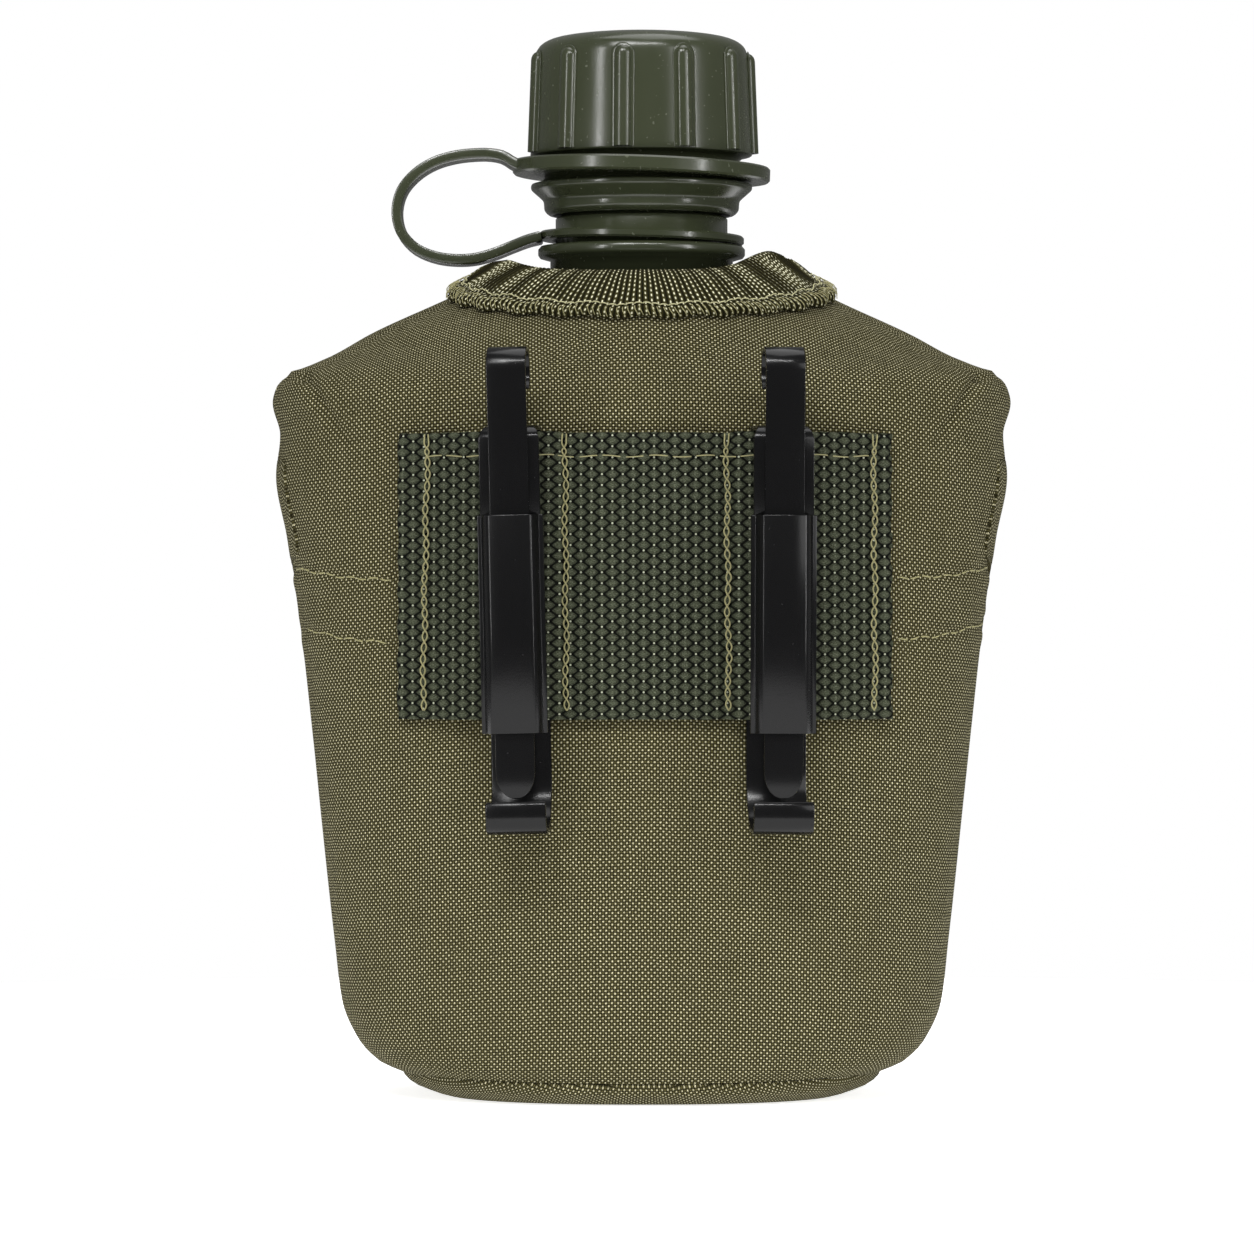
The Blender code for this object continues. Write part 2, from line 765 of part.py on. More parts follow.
def keeper_frame(side):
    """X across the keeper, Y into the cover, Z up it; the origin lies on the webbing's face."""
    x = KEEPER_X[side]
    low = on_side(x, WEB_MIDDLE - 0.026, -1)
    high = on_side(x, WEB_MIDDLE + 0.026, -1)
    place = on_side(x, WEB_MIDDLE, -1, TUNNEL_STANDOFF)
    out = outward(COVER_OUTLINE, x, on_side(x, WEB_MIDDLE, -1).y, WEB_MIDDLE)
    yaw = KEEPER_YAW * math.atan2(out.x, -out.y)
    pitch = math.atan2(high.y - low.y, high.z - low.z)
    turn = Matrix.Rotation(yaw, 4, "Z") @ Matrix.Rotation(-pitch, 4, "X")
    return Matrix.Translation(place) @ turn @ Matrix.Rotation(KEEPER_TILT[side], 4, "Y")


def strip_outline(path, thick):
    """The closed outline of a bent strip of this thickness along the path."""
    left, right = [], []
    for i, (a, b) in enumerate(path):
        before = path[max(0, i - 1)]
        after = path[min(len(path) - 1, i + 1)]
        along = Vector((after[0] - before[0], after[1] - before[1])).normalized()
        left.append((a - along.y * thick / 2, b + along.x * thick / 2))
        right.append((a + along.y * thick / 2, b - along.x * thick / 2))
    return left + right[::-1]


def bend(centre, radius, start, end, steps):
    made = []
    for angle in levels(math.radians(start), math.radians(end), steps):
        made.append((centre[0] + radius * math.cos(angle), centre[1] + radius * math.sin(angle)))
    return made


def bent_strip(frame, path, thick, half):
    """A strip bent along a path of distance out and height, made from quads along its length."""
    outline = strip_outline(path, thick)
    count = len(path)
    mesh = bmesh.new()
    sides = []
    for across in (-half, half):
        sides.append([mesh.verts.new(frame @ Vector((across, -out, up))) for out, up in outline])
    bridge_rings(mesh, sides, True)
    for ring in sides:
        for i in range(count - 1):
            j = len(ring) - 1 - i
            mesh.faces.new((ring[i], ring[i + 1], ring[j - 1], ring[j]))
    return mesh


def build_keeper(side):
    frame = keeper_frame(side)
    back = -WEB_THICK - 0.0009 - PLATE / 2
    face = BELT_GAP + PLATE / 2
    top = WEB_HEIGHT / 2 + 0.0012
    lip = face + 0.0026
    path = [(lip, -0.0447), (lip, -0.0476)]
    path += bend((lip - 0.0030, -0.0476), 0.0030, -15, -90, 5)
    path += [(lip - 0.0065, -0.0504), (0.0006, -0.0482)]
    path += [(-0.0016, -0.0458), (back, -0.0416), (back, -0.0376), (back, 0.0), (back, top - 0.0014)]
    path += bend((back + 0.0014, top - 0.0014), 0.0014, 150, 90, 4)
    path += bend((face - 0.0026, top - 0.0026), 0.0026, 90, 10, 5)
    path += [(face, top - 0.0053), (face, 0.0105)]
    body = keep(f"keeper_body_{side}", bent_strip(frame, path, PLATE, KEEPER_HALF), BLACK_STEEL)
    out = BELT_GAP + 0.00012
    outside = [
        (-0.00625, 0.0007), (-0.0054, 0.0011), (-0.0052, 0.0023), (-0.0038, 0.0034),
        (0.0038, 0.0034), (0.0052, 0.0023), (0.0054, 0.0011), (0.00625, 0.0007),
    ]
    inside = [
        (-0.00625, 0.0), (-0.0044, 0.0), (-0.0044, 0.0021), (-0.0034, 0.0026),
        (0.0034, 0.0026), (0.0044, 0.0021), (0.0044, 0.0), (0.00625, 0.0),
    ]
    grids = []
    for section in (outside, inside):
        rows = []
        for up in (-0.0311, 0.0121):
            rows.append([frame @ Vector((across, -out - rise, up)) for across, rise in section])
        grids.append(rows)
    combine(body, helper(slab(*grids)), "UNION")
    # The slide bar rides between the channel's cheeks, in front of the plate.
    mid = face + 0.0004 + PLATE / 2 + 0.00045
    slide_path = [(mid, -0.0440), (mid, -0.030), (mid, 0.010), (mid + 0.0001, 0.022)]
    slide_path += [(mid + 0.0006, 0.0320)]
    centre = (mid - 0.0032, 0.0408)
    slide_path += bend(centre, 0.0042, 0, 215, 10)
    slide = keep(f"keeper_slide_{side}", bent_strip(frame, slide_path, 0.0009, SLIDE_HALF), BLACK_STEEL)
    put_origin(body, frame.translation.copy())
    put_origin(slide, frame.translation.copy())
    carry(slide, body)


# ---- tablet pocket on the front ----


def over_front(x, out, z, follow=1.0):
    """A point this far out from the front face; follow 0 keeps it level with the middle of the face."""
    level = depth_at(COVER_OUTLINE, 0.0, z)
    y = depth_at(COVER_OUTLINE, x, z)
    return Vector((x, level + (y - level) * follow + out, z))


def build_pocket():
    wall = 0.0010
    outside, inside = [], []
    for z in (POCKET_LOW, POCKET_LOW + 0.016, POCKET_TOP - 0.016, POCKET_TOP):
        for made, half, near, far in (
            (outside, POCKET_HALF, 0.0004, POCKET_DEPTH),
            (inside, POCKET_HALF - wall, 0.0004 + wall, POCKET_DEPTH - wall),
        ):
            xs = levels(-half, half, 9)
            level = z if made is outside else max(z, POCKET_LOW + wall)
            ring = [over_front(x, near, level) for x in xs]
            ring += [over_front(x, far, level) for x in reversed(xs)]
            made.append(ring)
    mesh = closed_skin(
        outside + inside[::-1],
        over_front(0.0, POCKET_DEPTH / 2, POCKET_LOW),
        over_front(0.0, POCKET_DEPTH / 2, POCKET_LOW + wall),
    )
    keep("pocket_body", mesh, DUCK)

    def strip(name, near, thick, low, high, half, look):
        grids = []
        for out in (near + thick, near):
            rows = [[over_front(x, out, z) for x in levels(-half, half, 9)] for z in (low, high)]
            grids.append(rows)
        return keep(name, slab(*grids), look)

    strip("pocket_loop_tape", POCKET_DEPTH + 0.0003, 0.0008, 0.0560, 0.0720, 0.0185, PILE)
    hook = strip("pocket_hook_tape", POCKET_DEPTH + 0.0014, 0.0008, 0.0560, 0.0720, 0.0185, PILE)
    top = POCKET_TOP + 0.0005
    far = POCKET_DEPTH + 0.0025
    profile = [(0.0006, top, 0.0), (0.0040, top, 0.35), (0.0080, top, 0.8), (0.0115, top - 0.0001, 1.0),
               (far - 0.0008, top - 0.0012, 1.0), (far, top - 0.0036, 1.0), (far, 0.0640, 1.0),
               (far, 0.0520, 1.0)]
    outer, inner = [], []
    for i, (out, z, follow) in enumerate(profile):
        before = profile[max(0, i - 1)]
        after = profile[min(len(profile) - 1, i + 1)]
        along = Vector((after[0] - before[0], after[1] - before[1])).normalized()
        move = (-along.y * FABRIC, along.x * FABRIC)
        xs = levels(-0.0245, 0.0245, 9)
        inner.append([over_front(x, out, z, follow) for x in xs])
        outer.append([over_front(x, out + move[0], z + move[1], follow) for x in xs])
    flap = keep("pocket_flap", slab(outer, inner), DUCK)
    put_origin(flap, over_front(0.0, 0.0006, top + FABRIC, 0.0))
    carry(hook, flap)


def main():
    clear_scene()
    build_bottle()
    cap = build_cap()
    cap_ring = build_strap()
    carry(cap, cap_ring)
    front = build_panels()
    lining = build_lining()
    build_collar()
    for side, sign in (("left", -1), ("right", 1)):
        flap = build_flap(side, sign)
        build_snaps(front, lining, flap, side, sign)
    build_webbing()
    build_keeper("left")
    build_keeper("right")
    build_pocket()


main()
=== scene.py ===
"""An oval one-quart canteen in its lined cover, each piece modelled over its CAD part, in metres."""

import json
import math

import bpy
import numpy as np
from mathutils import Matrix, Vector


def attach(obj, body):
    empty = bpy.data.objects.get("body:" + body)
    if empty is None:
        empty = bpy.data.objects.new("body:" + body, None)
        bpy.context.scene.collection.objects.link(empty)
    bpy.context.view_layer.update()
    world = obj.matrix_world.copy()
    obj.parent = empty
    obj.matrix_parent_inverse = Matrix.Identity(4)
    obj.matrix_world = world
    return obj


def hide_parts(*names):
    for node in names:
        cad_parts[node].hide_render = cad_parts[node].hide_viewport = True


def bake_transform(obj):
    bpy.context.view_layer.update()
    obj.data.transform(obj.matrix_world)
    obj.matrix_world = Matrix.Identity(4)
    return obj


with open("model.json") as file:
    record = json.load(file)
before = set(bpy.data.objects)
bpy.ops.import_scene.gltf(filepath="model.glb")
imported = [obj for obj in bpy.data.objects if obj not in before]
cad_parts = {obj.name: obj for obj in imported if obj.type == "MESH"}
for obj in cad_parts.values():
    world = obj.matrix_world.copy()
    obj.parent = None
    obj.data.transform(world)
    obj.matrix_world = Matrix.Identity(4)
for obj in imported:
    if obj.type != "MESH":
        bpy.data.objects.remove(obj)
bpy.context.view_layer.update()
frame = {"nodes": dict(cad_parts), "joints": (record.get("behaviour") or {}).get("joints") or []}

MM = 0.001

# The cover's outside: height, half width, half depth, in millimetres.
COVER_STATIONS = (
    (0.0, 40.5, 33.5), (2.5, 47.0, 36.6), (6.5, 53.5, 38.0), (11.0, 58.0, 38.8), (19.0, 61.5, 39.5),
    (31.0, 63.0, 40.0), (56.0, 65.8, 40.4), (90.0, 69.5, 40.6), (114.0, 72.7, 40.6), (127.0, 75.0, 40.6),
    (135.5, 74.2, 40.2), (142.0, 75.7, 39.2), (145.2, 74.9, 38.3), (147.6, 72.3, 37.5), (149.5, 68.3, 36.8),
    (151.6, 63.4, 36.2), (156.0, 55.5, 34.4), (163.0, 40.5, 30.9), (167.0, 32.5, 28.6), (170.0, 29.4, 27.0),
)
# The power of the oval's outline: 2 is an ellipse, and more is squarer.
SQUARENESS = 2.35
FABRIC = 0.0012
SEAM_LOW = 0.0042
FRONT_TOP = 0.143
CORNER_RISE = 0.006
COLLAR_TOP = 0.1692
COLLAR_RIB, COLLAR_RADIUS = 0.00113, 0.031525

WEB_LOW, WEB_HIGH = 0.10600 - 0.0285, 0.10600 + 0.0285
WEB_LEFT, WEB_RIGHT = -0.0481, 0.0492
WEB_THICK = 0.0022
TUNNEL_STANDOFF = 0.0047
SEWN_STANDOFF = 0.0025
TUNNEL_HALF = 0.0070
STITCH_COLUMNS = (-0.0421, -0.0152, 0.0166, 0.0455)
# The webbing's weave: its pitch across and up, and the share of it that each bump fills.
WEAVE_COLUMN, WEAVE_ROW, WEAVE_POWER = 0.00206, 0.00217, 1.35
BUMP_WIDE, BUMP_HIGH = 0.66, 0.86

KEEPER_X = {"left": -0.0245, "right": 0.0265}
KEEPER_YAW = 0.62
KEEPER_TILT = {"left": math.radians(-1.3), "right": math.radians(0.2)}
PLATE = 0.0010
BELT_GAP = 0.0068

SNAP_X = 0.0330
SNAP_Z = 0.1240
FLAP_RISE = 0.0036
POCKET_HALF = 0.0230
POCKET_LOW = 0.0300
POCKET_TOP = 0.0780
POCKET_DEPTH = 0.0120
LID_HALF = 0.0245

# A hem's sewing: stitch length, gap and height, and the thread's radius.
HEM_STITCH = (0.0024, 0.0007, 0.0002)
HEM_THREAD = 0.00017

RIBS = 11
RIB_PHASE = math.radians(-100.0)
RIB_LOW, RIB_HIGH = 0.1933, 0.2139
CAP_LOW_RADIUS, CAP_HIGH_RADIUS = 0.0228, 0.0220
BOTTLE_NODES = ("bottle_shell", "bottle_shoulder", "bottle_neck")


# ---- small helpers for hand modelling ----


def let_go():
    """Nothing selected and nothing active, in object mode."""
    if bpy.context.object and bpy.context.object.mode != "OBJECT":
        bpy.ops.object.mode_set(mode="OBJECT")
    bpy.ops.object.select_all(action="DESELECT")


def pick(piece):
    let_go()
    piece.select_set(True)
    bpy.context.view_layer.objects.active = piece


def named(name):
    piece = bpy.context.object
    piece.name = name
    piece.data.name = name
    return piece


def vertices_where(piece, test):
    """Leaves edit mode with exactly the vertices selected that pass the test."""
    bpy.ops.object.mode_set(mode="EDIT")
    bpy.ops.mesh.select_mode(type="VERT")
    bpy.ops.mesh.select_all(action="DESELECT")
    bpy.ops.object.mode_set(mode="OBJECT")
    for vertex in piece.data.vertices:
        vertex.select = bool(test(vertex.co))
    bpy.ops.object.mode_set(mode="EDIT")


def turn_faces_out():
    """From edit mode: every face turned outwards, then back to object mode."""
    bpy.ops.mesh.select_all(action="SELECT")
    bpy.ops.mesh.normals_make_consistent(inside=False)
    bpy.ops.object.mode_set(mode="OBJECT")


def weld(piece, gap=0.00001):
    """Merges the corners that meet and turns every face outwards."""
    vertices_where(piece, lambda co: True)
    bpy.ops.mesh.remove_doubles(threshold=gap)
    turn_faces_out()


def finish_with(piece, kind, **settings):
    """A modifier given its settings and applied at once."""
    pick(piece)
    modifier = piece.modifiers.new(kind.lower(), kind)
    for key, value in settings.items():
        setattr(modifier, key, value)
    bpy.ops.object.modifier_apply(modifier=modifier.name)
    return piece


def smooth(piece, degrees=40):
    pick(piece)
    bpy.ops.object.shade_smooth_by_angle(angle=math.radians(degrees))
    return piece


def place(piece, matrix):
    """Puts the shape at its place and leaves the object itself at the origin."""
    piece.data.transform(matrix)
    piece.data.update()
    return piece


def joined(name, pieces):
    let_go()
    for piece in pieces:
        piece.select_set(True)
    bpy.context.view_layer.objects.active = pieces[0]
    bpy.ops.object.join()
    return named(name)


def turned(name, profile, count=64, close_low=True, close_high=True):
    """A part turned on a lathe: radius and height of each step, from the first ring to the last."""
    let_go()
    radius, height = profile[0]
    ends = "NGON" if close_low else "NOTHING"
    bpy.ops.mesh.primitive_circle_add(
        vertices=count, radius=radius, location=(0, 0, height), fill_type=ends
    )
    piece = named(name)
    bpy.ops.object.transform_apply(location=True, rotation=True, scale=True)
    bpy.ops.object.mode_set(mode="EDIT")
    bpy.ops.mesh.select_mode(type="EDGE")
    bpy.ops.mesh.select_all(action="SELECT")
    for wide, up in profile[1:]:
        bpy.ops.mesh.extrude_region_move(TRANSFORM_OT_translate={"value": (0, 0, up - height)})
        share = wide / radius
        bpy.ops.transform.resize(value=(share, share, 1), center_override=(0, 0, up))
        radius, height = wide, up
    if close_high:
        bpy.ops.mesh.edge_face_add()
    turn_faces_out()
    return piece


def sheet_steel(piece, thick, rim, degrees):
    """A bare surface made into plate of this thickness, its edges rounded."""
    finish_with(piece, "SOLIDIFY", thickness=thick, offset=0.0, use_even_offset=True)
    angle = math.radians(degrees)
    finish_with(piece, "BEVEL", width=rim, segments=2, limit_method="ANGLE", angle_limit=angle)
    pick(piece)
    bpy.ops.object.mode_set(mode="EDIT")
    turn_faces_out()
    return smooth(piece, 35)


def spread(name, points, across, up, thick=FABRIC, offset=-1.0):
    """A sheet whose grid of points is given, with its own measured distances as the UV map."""
    let_go()
    rows, columns = points.shape[:2]
    bpy.ops.mesh.primitive_grid_add(x_subdivisions=columns - 1, y_subdivisions=rows - 1, size=1)
    piece = named(name)
    piece.data.vertices.foreach_set("co", points.reshape(-1).astype(np.float32))
    corner = np.empty(len(piece.data.loops), np.int32)
    piece.data.loops.foreach_get("vertex_index", corner)
    flat = np.stack([across.reshape(-1)[corner], up.reshape(-1)[corner]], 1)
    piece.data.uv_layers.active.data.foreach_set("uv", flat.reshape(-1).astype(np.float32))
    piece.data.update()
    if thick:
        finish_with(piece, "SOLIDIFY", thickness=thick, offset=offset)
    return smooth(piece, 60)


def run_lengths(points, axis, start):
    """The distance along each line of points, counted from the given row or column."""
    steps = np.linalg.norm(np.diff(points, axis=axis), axis=-1)
    total = np.concatenate([np.zeros_like(np.take(steps, [0], axis)), np.cumsum(steps, axis)], axis)
    return total - np.take(total, [start], axis)


def uneven(low, high, count, weight):
    """Values from low to high, closest together where the weight is largest."""
    fine = np.linspace(low, high, 2001)
    grown = np.concatenate([[0.0], np.cumsum(weight((fine[1:] + fine[:-1]) / 2))])
    return np.interp(np.linspace(0, grown[-1], count), grown, fine)


def ease(value, low, high):
    t = np.clip((value - low) / (high - low), 0.0, 1.0)
    return t * t * (3 - 2 * t)


def bump_at(value, middle, width):
    return np.exp(-(((value - middle) / width) ** 2))


def repeated(name, base, frames):
    """The base shape once for every frame, as one mesh of its own. Each frame is a 4 by 4 matrix."""
    corners = np.array([v.co for v in base.data.vertices])
    corners = np.concatenate([corners, np.ones((len(corners), 1))], 1)
    faces = [tuple(face.vertices) for face in base.data.polygons]
    points, all_faces = [], []
    for i, matrix in enumerate(frames):
        points.append((corners @ np.array(matrix).T)[:, :3])
        all_faces += [tuple(v + i * len(corners) for v in face) for face in faces]
    mesh = bpy.data.meshes.new(name)
    mesh.from_pydata(np.concatenate(points).tolist(), [], all_faces)
    mesh.update()
    piece = bpy.data.objects.new(name, mesh)
    bpy.context.scene.collection.objects.link(piece)
    return smooth(piece, 70)


def thread_run(name, lines, radius, sides=2):
    """Round threads that follow the given lines of points."""
    curve = bpy.data.curves.new(name, "CURVE")
    curve.dimensions = "3D"
    curve.bevel_depth = radius
    curve.bevel_resolution = sides
    curve.use_fill_caps = True
    for line in lines:
        spline = curve.splines.new("POLY")
        spline.points.add(len(line) - 1)
        spline.points.foreach_set("co", np.concatenate([line, np.ones((len(line), 1))], 1).reshape(-1))
    piece = bpy.data.objects.new(name, curve)
    bpy.context.scene.collection.objects.link(piece)
    pick(piece)
    bpy.ops.object.convert(target="MESH")
    return smooth(named(name), 80)


# ---- the forms of the cover ----


class Form:
    """The outside of an oval body, from its half width and half depth at each height."""

    def __init__(self, stations):
        table = np.array(stations) * MM
        self.heights, self.halves = table[:, 0], table[:, 1:]
        slopes = np.diff(self.halves, axis=0) / np.diff(self.heights)[:, None]
        before, after = slopes[:-1], slopes[1:]
        both = before * after
        total = np.where(both > 0, before + after, 1.0)
        inner = np.where(both > 0, 2 * both / total, 0.0)
        self.tangents = np.vstack([slopes[:1], inner, slopes[-1:]])

    def at(self, height):
        """Half width and half depth, smoothly between the stations and without overshoot."""
        z = np.clip(height, self.heights[0], self.heights[-1])
        i = np.clip(np.searchsorted(self.heights, z, side="right") - 1, 0, len(self.heights) - 2)
        span = self.heights[i + 1] - self.heights[i]
        t = (z - self.heights[i]) / span
        low, high = self.halves[i], self.halves[i + 1]
        t, span = t[..., None], span[..., None]
        return (
            (2 * t**3 - 3 * t**2 + 1) * low
            + (t**3 - 2 * t**2 + t) * span * self.tangents[i]
            + (3 * t**2 - 2 * t**3) * high
            + (t**3 - t**2) * span * self.tangents[i + 1]
        )

    def outward(self, x, y, z):
        step = 0.0002
        n = squareness(z)
        half = self.at(z)
        slope = (self.at(z + step) - self.at(z - step)) / (2 * step)
        a, b = half[..., 0], half[..., 1]
        u, v = np.abs(x / a), np.abs(y / b)
        out = np.stack([
            np.copysign(u ** (n - 1), x) / a,
            np.copysign(v ** (n - 1), y) / b,
            -(u**n) * slope[..., 0] / a - (v**n) * slope[..., 1] / b,
        ], -1)
        return out / np.linalg.norm(out, axis=-1, keepdims=True)

    def skin(self, angle, z, offset=0.0):
        """Points at these angles and heights, this far outside the form."""
        angle, z = np.broadcast_arrays(np.asarray(angle, float), np.asarray(z, float))
        n = squareness(z)
        half = self.at(z)
        c, s = np.cos(angle), np.sin(angle)
        x = half[..., 0] * np.copysign(np.abs(c) ** (2 / n), c)
        y = half[..., 1] * np.copysign(np.abs(s) ** (2 / n), s)
        out = self.outward(x, y, z)
        return np.stack([x, y, z], -1) + out * np.broadcast_to(offset, z.shape)[..., None]

    def face(self, x, z, side, offset=0.0):
        """Points over the front (side 1) or the back (side -1) at these widths and heights."""
        x, z = np.broadcast_arrays(np.asarray(x, float), np.asarray(z, float))
        y = side * self.depth(x, z)
        out = self.outward(x, y, z)
        return np.stack([x, y, z], -1) + out * np.broadcast_to(offset, z.shape)[..., None]

    def depth(self, x, z):
        half = self.at(z)
        n = squareness(z)
        return half[..., 1] * np.maximum(0.0, 1 - np.abs(x / half[..., 0]) ** n) ** (1 / n)


def squareness(height):
    return SQUARENESS + (2.0 - SQUARENESS) * ease(height, 0.135, 0.167)


COVER = Form(COVER_STATIONS)


# ---- finishes ----


class Value:
    """A number that varies over a surface. Arithmetic on it adds Math nodes to its finish."""

    def __init__(self, finish, socket):
        self.finish, self.socket = finish, socket

    def __add__(self, other):
        return self.finish.math("ADD", self, other)

    def __sub__(self, other):
        return self.finish.math("SUBTRACT", self, other)

    def __rsub__(self, other):
        return self.finish.math("SUBTRACT", other, self)

    def __mul__(self, other):
        return self.finish.math("MULTIPLY", self, other)

    def __truediv__(self, other):
        return self.finish.math("DIVIDE", self, other)

    def __pow__(self, other):
        return self.finish.math("POWER", self, other)

    def __abs__(self):
        return self.finish.math("ABSOLUTE", self)

    def clamped(self):
        return self.finish.node("ShaderNodeClamp", {}, {"Value": self})

    def sine(self):
        return self.finish.math("SINE", self)

    def at_least(self, other):
        return self.finish.math("MAXIMUM", self, other)

    def floor(self):
        return self.finish.math("FLOOR", self)

    __radd__, __rmul__ = __add__, __mul__


class Finish:
    """One material: a principled shader, with its constants set on its own sockets."""

    def __init__(self, name, colour, roughness, **constants):
        self.material = bpy.data.materials.new(name)
        self.material.use_nodes = True
        self.tree = self.material.node_tree
        self.shader = self.tree.nodes["Principled BSDF"]
        self.shader.inputs["Base Color"].default_value = (*colour, 1)
        self.shader.inputs["Roughness"].default_value = roughness
        self.material.diffuse_color = (*colour, 1)
        for key, value in constants.items():
            self.shader.inputs[key.replace("_", " ")].default_value = value

    def node(self, kind, settings, inputs, out=0):
        made = self.tree.nodes.new(kind)
        for key, value in settings.items():
            if key == "stops":
                self.set_stops(made.color_ramp, value)
            else:
                setattr(made, key, value)
        for key, value in inputs.items():
            if isinstance(value, Value):
                self.tree.links.new(value.socket, made.inputs[key])
            else:
                made.inputs[key].default_value = value
        return Value(self, made.outputs[out])

    def set_stops(self, ramp, stops):
        while len(ramp.elements) < len(stops):
            ramp.elements.new(0.5)
        for element, (at, colour) in zip(ramp.elements, stops):
            element.position = at
            element.color = (*colour, 1)

    def math(self, operation, *values):
        return self.node("ShaderNodeMath", {"operation": operation}, dict(enumerate(values)))

    def coordinates(self, kind="Object"):
        made = self.tree.nodes.new("ShaderNodeTexCoord")
        return Value(self, made.outputs[kind])

    def parts(self, vector):
        made = self.tree.nodes.new("ShaderNodeSeparateXYZ")
        self.tree.links.new(vector.socket, made.inputs[0])
        return [Value(self, made.outputs[i]) for i in range(3)]

    def vector(self, x, y, z=0.0):
        return self.node("ShaderNodeCombineXYZ", {}, {0: x, 1: y, 2: z})

    def noise(self, vector, scale, detail=2.0, roughness=0.5, stretch=None):
        if stretch:
            vector = self.node(
                "ShaderNodeVectorMath", {"operation": "MULTIPLY"}, {0: vector, 1: stretch}
            )
        inputs = {"Vector": vector, "Scale": scale, "Detail": detail, "Roughness": roughness}
        return self.node("ShaderNodeTexNoise", {}, inputs)

    def mixed(self, factor, first, second):
        """First where the factor is 0 and second where it is 1. Either may be a colour or a socket."""
        inputs = {0: factor}
        for key, colour in ((6, first), (7, second)):
            inputs[key] = colour if isinstance(colour, Value) else (*colour, 1)
        return self.node("ShaderNodeMix", {"data_type": "RGBA"}, inputs, 2)

    def feed(self, socket, value):
        self.tree.links.new(value.socket, self.shader.inputs[socket])

    def relief(self, height, depth, strength=1.0):
        """Fine relief: height 0 to 1 over this depth in metres."""
        inputs = {"Height": height, "Distance": depth, "Strength": strength}
        self.feed("Normal", self.node("ShaderNodeBump", {}, inputs))


def shaded(colour, share):
    return tuple(c * share for c in colour)


def duck_cloth(name, thread=0.00060):
    """Coarse plain weave on brown-olive cloth: pale painted highlights on the warp crossings and painted
    shade in the gaps between the yarns.
    """
    cloth = Finish(name, (0.11, 0.10, 0.05), 0.85)
    cloth.shader.inputs["Specular IOR Level"].default_value = 0.10
    uv = cloth.coordinates("UV")
    x, y, _ = cloth.parts(uv)
    drift = cloth.noise(uv, 190.0, 2.0) - 0.5
    drift_up = cloth.noise(uv, 170.0, 2.0, stretch=(1.0, 1.3, 1.0)) - 0.5
    warp = x / thread + drift * 0.9
    weft = y / thread + drift_up * 0.9
    across, along = (warp * math.pi).sine(), (weft * math.pi).sine()
    over = across * along
    pillow = abs(over) ** 0.6
    streak = cloth.noise(cloth.vector(warp.floor() * 0.37, weft * 0.02), 3.1, 1.0)
    streak_up = cloth.noise(cloth.vector(warp * 0.02, weft.floor() * 0.41), 2.7, 1.0)
    yarn = (streak + streak_up) * 0.5
    fibre = cloth.noise(uv, 9000.0, 2.0)
    top = (over.at_least(0.0) ** 1.9) * (0.30 + yarn * 1.25) * (0.55 + fibre * 0.9)
    patch = cloth.noise(uv, 26.0, 3.0, 0.6)
    # The gap colour is painted shade between the yarns, mixed towards the yarn colour over each yarn's
    # pillow.
    gap, yarns = (0.0045, 0.0037, 0.0005), (0.086, 0.0765, 0.027)
    colour = cloth.mixed((pillow * (0.75 + yarn * 0.5)).clamped(), gap, yarns)
    # The pale colour on the top mask is a painted highlight on the crown of each warp crossing.
    colour = cloth.mixed(top.clamped(), colour, (0.66, 0.615, 0.40))
    colour = cloth.mixed(((patch - 0.42) * 1.1).clamped() * 0.5, colour, (0.062, 0.052, 0.019))
    cloth.feed("Base Color", colour)
    cloth.feed("Roughness", 0.92 - top.clamped() * 0.12)
    cloth.relief(pillow * 0.8 + fibre * 0.2, 0.00042)
    return cloth.material


def tape_cloth(name, rib=COLLAR_RIB):
    """The ribbed tape of the collar: upright ribs, each with a row of painted highlights where the beads
    cross its crown, and painted shade between the ribs.
    """
    tape = Finish(name, (0.09, 0.09, 0.045), 0.85)
    tape.shader.inputs["Specular IOR Level"].default_value = 0.10
    uv = tape.coordinates("UV")
    x, y, _ = tape.parts(uv)
    drift = tape.noise(uv, 240.0, 2.0) - 0.5
    rib_at = x / rib + drift * 0.35
    ridge = abs((rib_at * math.pi).sine())
    bead_at = y / 0.00104 + rib_at.floor() * 0.35 + drift * 0.5
    bead = abs((bead_at * math.pi).sine())
    fibre = tape.noise(uv, 9000.0, 2.0)
    bright = tape.noise(uv, 900.0, 1.0)
    # Painted highlights: pale dots on the crown of each rib where the beads cross it.
    rib_highlights = (ridge ** 24) * (bead ** 4.5) * (0.35 + bright * 1.3)
    # The gap colour is painted shade between the ribs.
    gap, yarns = (0.0032, 0.0027, 0.0002), (0.038, 0.034, 0.008)
    colour = tape.mixed((ridge ** 1.3).clamped(), gap, yarns)
    colour = tape.mixed((rib_highlights * 1.8).clamped(), colour, (0.70, 0.68, 0.48))
    tape.feed("Base Color", colour)
    tape.relief(ridge * 0.55 + bead * ridge * 0.3 + fibre * 0.15, 0.00035)
    return tape.material


